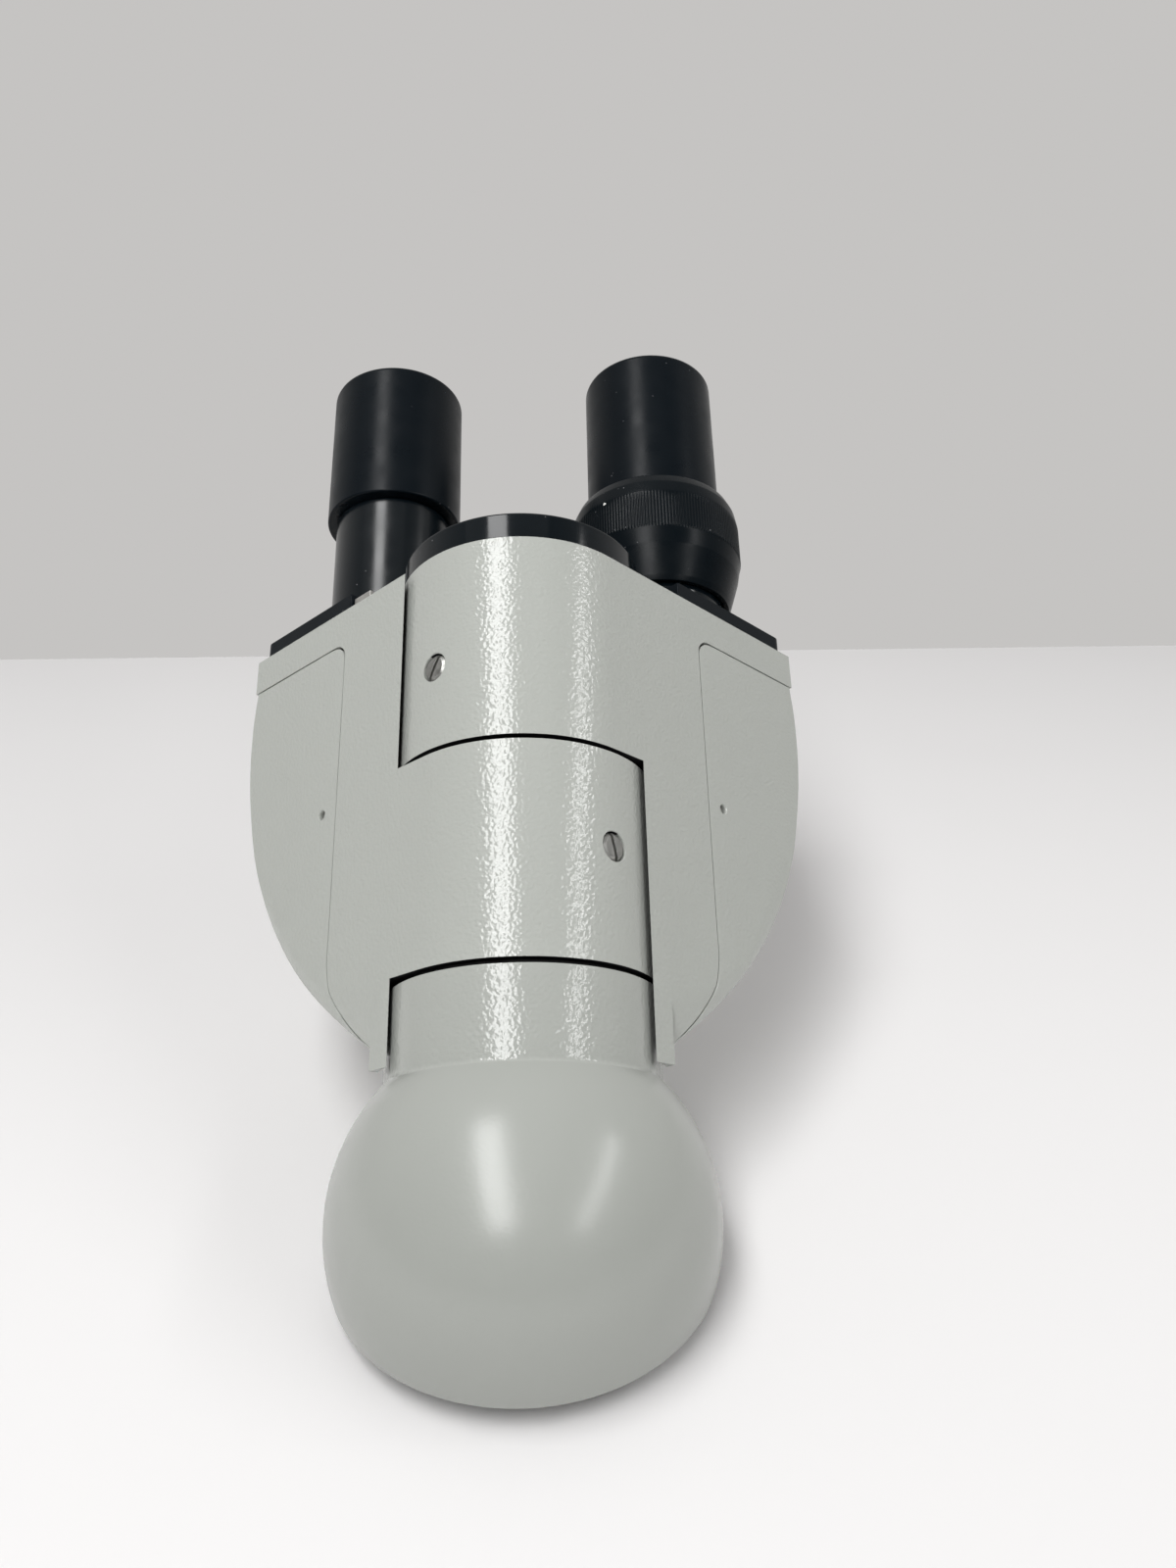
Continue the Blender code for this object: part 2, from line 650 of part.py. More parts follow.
def make_top_plate(side, name, wing, inner_end):
    """The black plate on top of the flange, which the eye tube stands through."""
    end, corner = FLANGE_END - 2.3 * MM, 2.0 * MM
    front, back = HINGE_RADIUS - 0.4 * MM, -WING_BACK + 0.6 * MM
    outline = [(side * t, -forward) for t, forward in (
        (inner_end, back), (end - corner, back), (end, back + corner), (end, front - corner),
        (end - corner, front), (inner_end, front),
    )]
    hole = arc(tube_place(side)[:2], TUBE_RADIUS + GAP, 0, 360 - 360 / MEDIUM, MEDIUM - 1)
    low, high = HINGE_TOP + GAP, HINGE_TOP + PLATE_THICKNESS
    top_plate = plate(f"{name}_top_plate", [outline, hole], low, high, wing, BLACK_METAL)
    round_disc = cylinder(
        f"cut_{name}_plate_end", SCALE_DISC_RADIUS + 0.5 * MM, HINGE_TOP - 5 * MM, HINGE_TOP + 10 * MM, wing
    )
    cut(top_plate, round_disc)


def make_prisms(side, name, optics, bench_low, hinge_prisms):
    """A bench square to the hinge, with the prisms over the hinge axis and the one under the eye tube."""
    reach = math.hypot(TUBE_OFFSET, TUBE_FORWARD)
    half = CUBE / 2
    top = bench_low + BENCH
    end = reach + (half if side > 0 else 1 * MM)
    wide = 8 * MM
    corners = ((-half, -wide), (end, -wide), (end, wide), (-half, wide))
    outline = [(side * t, across) for t, across in corners]
    aperture = arc((0, 0), 7.4 * MM, 0, 360 - 360 / MEDIUM, MEDIUM - 1)
    plate(f"{name}_prism_bench", [outline, aperture], bench_low, top, optics, BLACK_METAL)

    def wedge(piece, corners, centre):
        """A prism with a three-cornered section in the plane of the light path, CUBE wide."""
        points = [(side * (centre + a * half), top + GAP + half + b * half) for a, b in corners]
        upright = dict(rotation=(math.pi / 2, 0, 0))
        plate(piece, [points], -half, half, optics, GLASS, **upright)

    # In halves of the cube, short of its diagonal by the thickness of the cement
    halves = ([(-0.985, -1), (0.985, -1), (0.985, 0.97)], [(-1, -0.97), (0.97, 1), (-1, 1)])
    for piece, corners in zip(hinge_prisms, halves):
        wedge(piece, corners, 0)
    wedge(f"{name}_tube_prism", [(-1, -1), (-1, 1), (1, 1)], reach)


def make_left_wing(hinge, wing, optics):
    low, high = LOWER_SPLIT + SPLIT_GAP / 2, UPPER_SPLIT - SPLIT_GAP / 2
    housing = make_wing_housing(-1, "left", wing, hinge, low, high)
    knuckle_screw("left_knuckle_screw", housing, 42.5, HINGE_TOP - 61.5 * MM, hinge)
    make_cover(-1, "left", wing, hinge)
    make_top_plate(-1, "left", wing, 26.3 * MM)
    make_prisms(-1, "left", optics, LEFT_BENCH_Z, ("splitter_lower_prism", "splitter_upper_prism"))
    inner, outer = TUBE_SHAFT_RADIUS + GAP, HINGE_BORE - GAP
    turned("left_lower_bush", ring(outer, inner, low + 0.6 * MM, low + 5.6 * MM), hinge, BRASS, MEDIUM)
    turned("left_upper_bush", ring(outer, inner, 73.4 * MM, 75.6 * MM), hinge, BRASS, MEDIUM)
    face = UPPER_SPLIT - ROLLER_RADIUS - GAP
    turned("left_coupling_ring", ring(outer, inner, face - 2.4 * MM, face), hinge, STEEL, MEDIUM)
    index = [(-25.9 * MM, -(HINGE_RADIUS - 0.6 * MM)), (-25.9 * MM, -12 * MM), (-21.5 * MM, -15 * MM)]
    index += [(-14.5 * MM, -(HINGE_RADIUS - 2.5 * MM)), (-14.5 * MM, -(HINGE_RADIUS - 0.6 * MM))]
    plate("ipd_index_plate", [index], HINGE_TOP + GAP, HINGE_TOP + 2.0 * MM, wing, STEEL)
    tube = [
        (TUBE_RADIUS - 0.4 * MM, TUBE_TOP[0]),
        (TUBE_RADIUS, TUBE_TOP[0] - 0.4 * MM),
        (TUBE_RADIUS, TUBE_FOOT),
        (TUBE_BORE, TUBE_FOOT),
        (TUBE_BORE, TUBE_TOP[0]),
    ]
    turned("left_eye_tube", tube, on_tube(wing, -1), BLACK_METAL)


def make_right_wing(hinge, wing, optics):
    low, high = UPPER_SPLIT + SPLIT_GAP / 2, HINGE_TOP
    housing = make_wing_housing(1, "right", wing, hinge, low, high)
    knuckle_screw("right_knuckle_screw", housing, -40.3, HINGE_TOP - 25.1 * MM, hinge)
    make_cover(1, "right", wing, hinge)
    make_top_plate(1, "right", wing, 20.5 * MM)
    make_prisms(1, "right", optics, RIGHT_BENCH_Z, ("turning_prism",))
    inner, outer = TUBE_SHAFT_RADIUS + GAP, HINGE_BORE - GAP
    face = UPPER_SPLIT + ROLLER_RADIUS + GAP
    turned("right_coupling_ring", ring(outer, inner, face, face + 2.4 * MM), hinge, STEEL, MEDIUM)
    turned("right_bush", ring(outer, inner, face + 2.7 * MM, face + 5.2 * MM), hinge, BRASS, MEDIUM)
    disc = [
        (0, SCALE_DISC_TOP),
        (SCALE_DISC_RADIUS - 0.6 * MM, SCALE_DISC_TOP),
        (SCALE_DISC_RADIUS, SCALE_DISC_TOP - 0.6 * MM),
        (SCALE_DISC_RADIUS, GAP),
        (HINGE_BORE - GAP, GAP),
        (HINGE_BORE - GAP, -4 * MM),
        (0, -4 * MM),
    ]
    top = frame("hinge_top", hinge, (0, 0, HINGE_TOP))
    turned("ipd_scale_disc", disc, top, BLACK_METAL)
    collar = TUBE_RADIUS + 0.6 * MM
    plate_top, step = PLATE_THICKNESS + GAP, SCALE_DISC_TOP + 0.6 * MM
    guide = [
        (GUIDE_RADIUS, GUIDE_TOP),
        (GUIDE_RADIUS, step),
        (collar, step),
        (collar, plate_top),
        (TUBE_RADIUS, plate_top),
        (TUBE_RADIUS, TUBE_FOOT),
        (TUBE_BORE, TUBE_FOOT),
        (TUBE_BORE, step + 1.5 * MM),
        (TUBE_RADIUS + GAP, step + 1.5 * MM),
        (TUBE_RADIUS + GAP, GUIDE_TOP),
    ]
    turned("right_tube_guide", guide, on_tube(wing, 1), BLACK_METAL)


def on_tube(wing, side):
    """The frame of one eye tube, its origin on the tube's axis level with the top of the hinge."""
    x, y, _ = tube_place(side)
    label = "right" if side > 0 else "left"
    return bpy.data.objects.get(f"{label}_tube_axis") or frame(f"{label}_tube_axis", wing, (x, y, HINGE_TOP))


def make_diopter(axis):
    """The right tube's focusing: the knurled ring, and the sleeve that goes up and down as it turns."""
    inner = GUIDE_RADIUS + GAP
    lip = GUIDE_TOP + FOCUS_TRAVEL + 0.6 * MM  # the guide's end stays below it
    shoulder = 4.6 * MM
    ring_profile = [
        (inner, lip),
        (TUBE_RADIUS + GAP, lip),
        (TUBE_RADIUS + GAP, TUBE_TOP[1]),
        (KNURL_RADIUS - 3.3 * MM, TUBE_TOP[1]),
    ]
    ring_profile += arc((KNURL_RADIUS - shoulder, 33.4 * MM), shoulder, 80, 0, 4)
    ring_profile += [
        (KNURL_RADIUS, 22.8 * MM),
        (KNURL_RADIUS - 0.4 * MM, 21.6 * MM),
        (inner + 1.4 * MM, DIOPTER_FOOT + 1.0 * MM),
        (inner + 1.0 * MM, DIOPTER_FOOT),
        (inner, DIOPTER_FOOT),
    ]
    turned("diopter_ring", ring_profile, axis, BLACK_METAL)
    sleeve_foot = DIOPTER_FOOT + 1.6 * MM
    sleeve = [
        (TUBE_RADIUS - 0.4 * MM, TUBE_TOP[1]),
        (TUBE_RADIUS, TUBE_TOP[1] - 0.4 * MM),
        (TUBE_RADIUS, sleeve_foot),
        (TUBE_BORE, sleeve_foot),
        (TUBE_BORE, TUBE_TOP[1]),
    ]
    turned("right_eye_tube", sleeve, axis, BLACK_METAL)


def make_eyepiece(label, axis, foot):
    """A plain eyepiece: barrel, insertion sleeve, two lenses and the ring round the eye lens."""
    top = foot + EYEPIECE_LENGTH
    seat = top - 7.6 * MM
    barrel = [
        (11.6 * MM, top),
        (EYEPIECE_RADIUS - 1.2 * MM, top),
        (EYEPIECE_RADIUS - 0.2 * MM, top - 1.0 * MM),
        (EYEPIECE_RADIUS, foot + 0.5 * MM),
        (EYEPIECE_RADIUS - 0.5 * MM, foot),
        (SLEEVE_RADIUS + GAP, foot),
        (SLEEVE_RADIUS + GAP, foot + 10 * MM),
        (9.6 * MM, foot + 10 * MM),
        (9.6 * MM, seat),
        (11.0 * MM, seat),
        (11.0 * MM, top - 0.5 * MM),
    ]
    turned(f"{label}_eyepiece_barrel", barrel, axis, BLACK_PLASTIC)
    sleeve_low = foot - 25 * MM
    sleeve = [
        (SLEEVE_RADIUS, foot + 9.7 * MM),
        (SLEEVE_RADIUS, sleeve_low),
        (9.4 * MM, sleeve_low),
        (9.4 * MM, sleeve_low + 1.2 * MM),
        (10.5 * MM, sleeve_low + 1.2 * MM),
        (10.5 * MM, foot + 9.7 * MM),
    ]
    turned(f"{label}_eyepiece_sleeve", sleeve, axis, STEEL, MEDIUM)
    lens(f"{label}_field_lens", 10.2 * MM, sleeve_low + 1.5 * MM, 1.6 * MM, 1.6 * MM, axis)
    lens(f"{label}_eye_lens", 10.7 * MM, seat + GAP, 1.6 * MM, 2.2 * MM, axis)
    lens_ring = ring(10.7 * MM, 9.2 * MM, seat + 4.6 * MM, top - 1.0 * MM)
    turned(f"{label}_lens_ring", lens_ring, axis, BLACK_METAL, MEDIUM)


def make_roller(hinge):
    """The roller between the two coupling rings, on an axle in the fixed shaft: the wings mirror by it."""
    profile = ring(ROLLER_RADIUS, 1.2 * MM, 18.9 * MM, 21.0 * MM)
    forward = dict(location=(0, 0, UPPER_SPLIT), rotation=(math.pi / 2, 0, 0))
    turned("coupling_roller", profile, hinge, RUBBER, SMALL, **forward)


clear_scene()
parts = collection("binocular_head")
cutters = collection("cutters")

GREY_PAINT = material("grey_paint", (0.42, 0.44, 0.41), 0.32)
BLACK_METAL = material("black_metal", (0.012, 0.013, 0.016), 0.3, 0.4)
BLACK_PLASTIC = material("black_plastic", (0.015, 0.017, 0.022), 0.5)
DARK_METAL = material("dark_metal", (0.08, 0.08, 0.085), 0.45, 0.8)
STEEL = material("steel", (0.62, 0.62, 0.6), 0.28, 1.0)
BRASS = material("brass", (0.6, 0.42, 0.16), 0.35, 1.0)
RUBBER = material("rubber", (0.03, 0.03, 0.03), 0.8)
GLASS = material("glass", (0.9, 0.95, 0.93), 0.02, 0.0, 1.0)

base_frame = frame("base_frame")
hinge_frame = frame("hinge_frame", base_frame, (0, 0, DOME_CENTRE_Z), (-HINGE_LEAN, 0, 0))
left_frame = frame("left_wing_frame", hinge_frame, rotation=(0, 0, -WING_SWEEP))
right_frame = frame("right_wing_frame", hinge_frame, rotation=(0, 0, WING_SWEEP))
LIGHT_PATH_TURN = math.atan2(TUBE_FORWARD, TUBE_OFFSET)
left_optics = frame("left_optics", left_frame, rotation=(0, 0, LIGHT_PATH_TURN))
right_optics = frame("right_optics", right_frame, rotation=(0, 0, -LIGHT_PATH_TURN))

make_base(base_frame, hinge_frame)
make_left_wing(hinge_frame, left_frame, left_optics)
make_right_wing(hinge_frame, right_frame, right_optics)
make_diopter(on_tube(right_frame, 1))
make_eyepiece("left", on_tube(left_frame, -1), TUBE_TOP[0] + GAP)
make_eyepiece("right", on_tube(right_frame, 1), TUBE_TOP[1] + GAP)
make_roller(hinge_frame)
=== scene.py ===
import json
import math

import bmesh
import bpy
from mathutils import Matrix, Vector


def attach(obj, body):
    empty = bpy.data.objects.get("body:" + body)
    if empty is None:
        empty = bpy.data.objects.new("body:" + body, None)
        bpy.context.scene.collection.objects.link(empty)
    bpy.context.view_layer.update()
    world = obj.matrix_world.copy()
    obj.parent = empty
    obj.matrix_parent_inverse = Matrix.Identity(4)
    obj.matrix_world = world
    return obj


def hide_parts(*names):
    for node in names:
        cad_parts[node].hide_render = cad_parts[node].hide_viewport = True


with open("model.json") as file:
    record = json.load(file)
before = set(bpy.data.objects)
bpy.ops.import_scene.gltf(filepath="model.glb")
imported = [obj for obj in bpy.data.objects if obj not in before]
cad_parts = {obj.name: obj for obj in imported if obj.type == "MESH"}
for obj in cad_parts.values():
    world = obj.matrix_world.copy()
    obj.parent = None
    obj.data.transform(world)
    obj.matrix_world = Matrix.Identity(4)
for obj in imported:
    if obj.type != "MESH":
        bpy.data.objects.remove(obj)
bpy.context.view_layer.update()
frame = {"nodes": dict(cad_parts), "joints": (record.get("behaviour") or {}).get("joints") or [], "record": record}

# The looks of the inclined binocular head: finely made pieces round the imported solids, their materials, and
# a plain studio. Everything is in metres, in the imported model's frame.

MM = 0.001
LEFT, RIGHT = -1, 1
LABEL = {LEFT: "left", RIGHT: "right"}

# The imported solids' own sizes
HINGE_LEAN = math.radians(45)
WING_SWEEP = math.radians(44.35)
SEAT_Z = 4.3 * MM
DOVETAIL_HEIGHT, DOVETAIL_RADIUS, DOVETAIL_FLANK = 4.0 * MM, 25.0 * MM, math.radians(30)
LIGHT_ENTRY = 14.0 * MM
DOME_RADIUS, DOME_WALL = 34.0 * MM, 3.5 * MM
HINGE_RADIUS, HINGE_BORE, HINGE_TOP = 25.0 * MM, 21.5 * MM, 123.5 * MM
LOWER_SPLIT, UPPER_SPLIT, SPLIT_GAP = 39.8 * MM, 81.0 * MM, 0.9 * MM
KNUCKLE_SPAN = {
    LEFT: (LOWER_SPLIT + SPLIT_GAP / 2, UPPER_SPLIT - SPLIT_GAP / 2),
    RIGHT: (UPPER_SPLIT + SPLIT_GAP / 2, HINGE_TOP),
}
SWING_CLEARANCE = 26.2 * MM
WING_FRONT, WING_BACK = HINGE_RADIUS, -12.0 * MM
FRAME_EDGE, FLANGE_END, FLANGE_THICKNESS = 26.7 * MM, 59.5 * MM, 8.0 * MM
LEG_EDGE, LEG_BOTTOM = 12.6 * MM, 24.8 * MM
TUBE_OFFSET, TUBE_FORWARD, TUBE_RADIUS, TUBE_BORE = 38.3 * MM, 4.9 * MM, 13.3 * MM, 11.9 * MM
TUBE_TOP = {LEFT: 35.0 * MM, RIGHT: 38.3 * MM}
TUBE_FOOT = -7.0 * MM
EYEPIECE_RADIUS, EYEPIECE_LENGTH, SLEEVE_RADIUS = 15.45 * MM, 35.8 * MM, 11.6 * MM
DISC_RADIUS, DISC_TOP = 24.5 * MM, 6.0 * MM
PLATE_LOW, PLATE_TOP = 0.3 * MM, 3.6 * MM
KNURL_RADIUS, DIOPTER_FOOT = 19.7 * MM, 10.4 * MM
PIN_PLACE = (31.45 * MM, HINGE_TOP - 45.4 * MM)  # along the wing, and its height
# A knuckle screw's angle from the hinge's front towards +X, its height, and the turn of its slot
KNUCKLE_SCREW = {LEFT: (42.5, HINGE_TOP - 61.5 * MM, 105), RIGHT: (-40.3, HINGE_TOP - 25.1 * MM, 60)}
PLATE_START = {LEFT: 26.3 * MM, RIGHT: 21.8 * MM}
BASE_PLATE_RADIUS, BASE_PLATE_THICKNESS = 29.5 * MM, 4.0 * MM
DOVETAIL_SCREW_CIRCLE, DOVETAIL_SCREW_HEAD, DOVETAIL_SCREW_SHANK = 18.5 * MM, 2.45 * MM, 1.1 * MM
BASE_SCREW_CIRCLE, BASE_SCREW_HEAD, BASE_SCREW_SHANK = 26.8 * MM, 2.2 * MM, 1.4 * MM
FACET_START, FACET_END = (LEG_EDGE, 36.1 * MM), (FRAME_EDGE, 41.7 * MM)
EYE_DISTANCES = range(55, 76)  # millimetres, on the scale
INDEX_ANGLE = math.radians(42)  # from the hinge's front, where the left wing's index points

# The finish of the pieces
ROUND = 160  # sides of a large turned piece
EDGE = 0.45 * MM  # rounding of a casting's edges
SEAM = 0.35 * MM  # the hairline between casting and cover
FACET_SLOPE = math.tan(math.radians(17))
TUBE_GAP = 0.3 * MM
JOIN_OVERLAP = 0.01 * MM
CORNER_SHARE = 0.48  # how much of a side its corner's arc may take up
SPLINE_STEPS = 24
ON_AXIS, NO_LENGTH = 1e-7, 1e-12  # smaller than these counts as nothing
ROOM, BACKDROP = (0.08, 0.08, 0.08, 1), (0.56, 0.55, 0.54, 1)  # on the dome's side, and beyond the tubes
FLOOR_WIDTH, FLOOR_FRONT, FLOOR_BACK = 3.2, -1.2, 0.4
CAMERA_PLACE = (6.4 * MM, -179.1 * MM, 161.4 * MM)
CAMERA_TILT = Vector((0.41214, -0.021993, -0.019757))  # an axis times its angle, from square to the hinge
SENSOR, LENS = 36, 29.627
HEAD = (0, 0.04, 0.06)
LAMPS = (  # name, place, what it points at, size, power
    ("key", (-0.26, -0.36, 0.90), HEAD, (0.25, 1.15), 9.0),
    ("side", (0.68, -0.28, 0.68), HEAD, (0.1, 1.0), 2.5),
    ("top", (-0.2, 0.0, 1.2), (0, 0.05, 0.05), (1.4, 1.4), 1.2),
)

joints = {joint["name"]: joint for joint in frame["joints"]}
HINGE = Matrix.Translation(joints["left_wing_turn"]["pos_m"]) @ Matrix.Rotation(-HINGE_LEAN, 4, "X")
WING = {side: HINGE @ Matrix.Rotation(side * WING_SWEEP, 4, "Z") for side in (LEFT, RIGHT)}
TUBE = {
    side: WING[side] @ Matrix.Translation((side * TUBE_OFFSET, -TUBE_FORWARD, HINGE_TOP))
    for side in (LEFT, RIGHT)
}
UPRIGHT = Matrix.Identity(4)
OUTWARD = Matrix.Rotation(math.pi / 2, 4, "X")  # turns Z to point out of a wing's front


# -------------------- outlines


def mm(*points):
    """Points given in millimetres."""
    return [tuple(number * MM for number in point) for point in points]


def is_open(points):
    """Whether an outline starts and ends on the axis."""
    return max(abs(points[0][0]), abs(points[-1][0])) < ON_AXIS


def rounded(points, radius, steps=4):
    """The outline with its corners turned into arcs. A point's third number is its own radius."""
    result = []
    ends = (0, len(points) - 1) if is_open(points) else ()
    for i, point in enumerate(points):
        here = Vector(point[:2])
        own = point[2] if len(point) > 2 else radius
        if own == 0 or i in ends:
            result.append(tuple(here))
            continue
        before = Vector(points[i - 1][:2]) - here
        after = Vector(points[(i + 1) % len(points)][:2]) - here
        half = before.angle(after) / 2
        reach = min(own / math.tan(half), CORNER_SHARE * before.length, CORNER_SHARE * after.length)
        start, end = here + before.normalized() * reach, here + after.normalized() * reach
        for k in range(steps + 1):
            f = k / steps
            result.append(tuple(start * (1 - f) ** 2 + here * 2 * f * (1 - f) + end * f * f))
    return result


def arc(radius, start, end, steps, centre=(0, 0)):
    """Points on an arc, its angles in degrees."""
    angles = [math.radians(start + (end - start) * i / steps) for i in range(steps + 1)]
    return [(centre[0] + radius * math.cos(a), centre[1] + radius * math.sin(a)) for a in angles]


def through(points, count):
    """A smooth curve through the points, as evenly spaced points."""
    knots = [Vector(p) for p in points]
    knots = [2 * knots[0] - knots[1]] + knots + [2 * knots[-1] - knots[-2]]
    fine = []
    for a, b, c, d in zip(knots, knots[1:], knots[2:], knots[3:]):
        for k in range(SPLINE_STEPS):
            f = k / SPLINE_STEPS
            square, cube = 2 * a - 5 * b + 4 * c - d, 3 * b - a - 3 * c + d
            fine.append(0.5 * (2 * b + (c - a) * f + square * f**2 + cube * f**3))
    fine.append(knots[-2])
    return evenly([tuple(p) for p in fine], count)


def evenly(points, count):
    """The same line in evenly spaced points."""
    places = [0.0]
    for a, b in zip(points, points[1:]):
        places.append(places[-1] + math.dist(a, b))
    result, i = [], 0
    for k in range(count):
        goal = places[-1] * k / (count - 1)
        while i < len(points) - 2 and places[i + 1] < goal:
            i += 1
        f = (goal - places[i]) / max(places[i + 1] - places[i], NO_LENGTH)
        result.append(tuple(a + (b - a) * f for a, b in zip(points[i], points[i + 1])))
    return result


# -------------------- pieces


def linked(name, data, matrix):
    """A new object in the scene, placed in the model's frame."""
    obj = bpy.data.objects.new(name, data)
    bpy.context.scene.collection.objects.link(obj)
    obj.matrix_world = matrix
    return obj


def place(name, bm, matrix):
    """A new object from a bmesh."""
    mesh = bpy.data.meshes.new(name)
    bm.to_mesh(mesh)
    bm.free()
    return linked(name, mesh, matrix)


def applied(obj):
    """Turns an object's modifiers into its mesh."""
    graph = bpy.context.evaluated_depsgraph_get()
    mesh = bpy.data.meshes.new_from_object(obj.evaluated_get(graph))
    obj.modifiers.clear()
    obj.data = mesh


def boolean(obj, operation, *others, solver="EXACT"):
    """Cuts or joins other objects into obj, and removes them."""
    for other in others:
        modifier = obj.modifiers.new(other.name, "BOOLEAN")
        modifier.operation = operation
        modifier.object = other
        modifier.solver = solver
    bpy.context.view_layer.update()
    applied(obj)
    for other in others:
        bpy.data.objects.remove(other)


def edges_rounded(obj, width=EDGE, segments=3, limit=40):
    """Rounds the sharp edges."""
    bevel = obj.modifiers.new("Edges", "BEVEL")
    bevel.width = width
    bevel.segments = segments
    bevel.limit_method = "ANGLE"
    bevel.angle_limit = math.radians(limit)
    bevel.miter_outer = "MITER_ARC"
    applied(obj)


def shaded(obj, sharp=35):
    """Smooth shading that leaves flat faces flat."""
    obj.data.shade_smooth()
    obj.data.set_sharp_from_angle(angle=math.radians(sharp))
    weighted = obj.modifiers.new("Flat faces", "WEIGHTED_NORMAL")
    weighted.mode = "FACE_AREA"
    weighted.keep_sharp = True
    weighted.weight = 80
    bpy.context.view_layer.update()


def done(obj, body, material, slot, *nodes, sharp=35):
    """Gives a piece its shading, material and body, and hides the solids that it stands for. slot is not used."""
    obj.data.transform(obj.matrix_world)
    obj.matrix_world = UPRIGHT
    shaded(obj, sharp)
    obj.data.materials.clear()
    obj.data.materials.append(material)
    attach(obj, body)
    if nodes:
        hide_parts(*nodes)


def lathe(name, profile, matrix, segments=ROUND):
    """A turned piece from (radius, height) points, closed unless it starts and ends on the axis."""
    bm = bmesh.new()
    angles = [2 * math.pi * i / segments for i in range(segments)]
    rings = []
    for radius, height in profile:
        if radius < ON_AXIS:
            rings.append([bm.verts.new((0, 0, height))])
        else:
            points = [(radius * math.cos(a), radius * math.sin(a), height) for a in angles]
            rings.append([bm.verts.new(point) for point in points])
    pairs = list(zip(rings, rings[1:]))
    if not is_open(profile):
        pairs.append((rings[-1], rings[0]))
    for lower, upper in pairs:
        if len(lower) == len(upper) == 1:
            continue
        for i in range(segments):
            j = (i + 1) % segments
            corners = [lower[k % len(lower)] for k in (i, j)] + [upper[k % len(upper)] for k in (j, i)]
            bm.faces.new(list(dict.fromkeys(corners)))
    bmesh.ops.recalc_face_normals(bm, faces=bm.faces)
    return place(name, bm, matrix)


def skin(bm, first, second):
    """Faces between two closed loops of vertices."""
    for i in range(len(first)):
        j = (i + 1) % len(first)
        bm.faces.new((first[i], first[j], second[j], second[i]))


def prism(name, outline, low, high, matrix, shape=None):
    """An outline in two of the axes, drawn out along the third. shape turns (a, b, c) into a place."""
    bm = bmesh.new()
    shape = shape or (lambda a, b, c: (a, b, c))
    loops = [[bm.verts.new(shape(a, b, c)) for a, b in outline] for c in (low, high)]
    bm.faces.new(loops[0])
    bm.faces.new(loops[1])
    skin(bm, *loops)
    bmesh.ops.recalc_face_normals(bm, faces=bm.faces)
    return place(name, bm, matrix)


def cylinder(name, radius, low, high, matrix, segments=ROUND):
    """A plain round, for cutting."""
    return lathe(name, [(0, low), (radius, low), (radius, high), (0, high)], matrix, segments)


def bar(length, width):
    """A rectangle round the middle."""
    x, y = length / 2, width / 2
    return [(-x, -y), (x, -y), (x, y), (-x, y)]


def wing_point(side):
    """Turns (t, height, forward) into a point of the wing's frame."""
    return lambda t, height, forward: (side * t, -forward, height)


def wing_slab(name, outline, low, high, side):
    """An outline of (t, forward) points, drawn out along the hinge."""
    return prism(name, outline, low, high, WING[side], lambda t, forward, up: (side * t, -forward, up))


def on_wing(side, t, height, forward):
    """A frame on the wing's front, its Z pointing out of the face."""
    return WING[side] @ Matrix.Translation((side * t, -forward, height)) @ OUTWARD


# -------------------- materials


def look(name, colour, roughness, metallic=0.0, sockets=None):
    """A Principled material, with the sockets that stay the same all over it set directly."""
    material = bpy.data.materials.new(name)
    material.use_nodes = True
    shader = material.node_tree.nodes["Principled BSDF"]
    shader.inputs["Base Color"].default_value = (*colour, 1)
    shader.inputs["Roughness"].default_value = roughness
    shader.inputs["Metallic"].default_value = metallic
    for socket, value in (sockets or {}).items():
        shader.inputs[socket].default_value = value
    return material


def node(material, kind, settings=None, **inputs):
    """A node with its settings, and its inputs set to a value or linked to another node's output."""
    made = material.node_tree.nodes.new(kind)
    for key, value in (settings or {}).items():
        setattr(made, key, value)
    for key, value in inputs.items():
        socket = made.inputs[int(key[2:]) if key.startswith("i_") else key.replace("_", " ").title()]
        if isinstance(value, bpy.types.NodeSocket):
            material.node_tree.links.new(value, socket)
        else:
            socket.default_value = value
    return made


def wire(material, output, socket):
    """Links an output to the shader."""
    material.node_tree.links.new(output, material.node_tree.nodes["Principled BSDF"].inputs[socket])


def place_of(material, squeeze=(1, 1, 1)):
    """The point on the piece in metres, with Z along the hinge, stretched as asked."""
    coordinates = node(material, "ShaderNodeTexCoord").outputs["Object"]
    turned = node(material, "ShaderNodeMapping", Vector=coordinates, Rotation=(HINGE_LEAN, 0, 0))
    return node(material, "ShaderNodeMapping", Vector=turned.outputs[0], Scale=squeeze).outputs[0]


def grain(material, size, detail=2.0, squeeze=(1, 1, 1), roughness=0.5):
    """Noise whose features are about this size."""
    return node(
        material, "ShaderNodeTexNoise", Vector=place_of(material, squeeze), Scale=1 / size, Detail=detail,
        Roughness=roughness,
    ).outputs["Fac"]


def spread(material, value, low, high, to_low=0.0, to_high=1.0):
    """Maps a range of a value to another range."""
    made = node(material, "ShaderNodeMapRange", Value=value)
    for key, number in zip(("From Min", "From Max", "To Min", "To Max"), (low, high, to_low, to_high)):
        made.inputs[key].default_value = number
    return made.outputs["Result"]


def mixed(material, factor, first, second):
    """A colour between two, each a colour or an output."""
    made = node(material, "ShaderNodeMix", {"data_type": "RGBA"})
    for index, value in ((0, factor), (6, first), (7, second)):
        if isinstance(value, bpy.types.NodeSocket):
            material.node_tree.links.new(value, made.inputs[index])
        else:
            made.inputs[index].default_value = (*value, 1) if index else value
    return made.outputs[2]


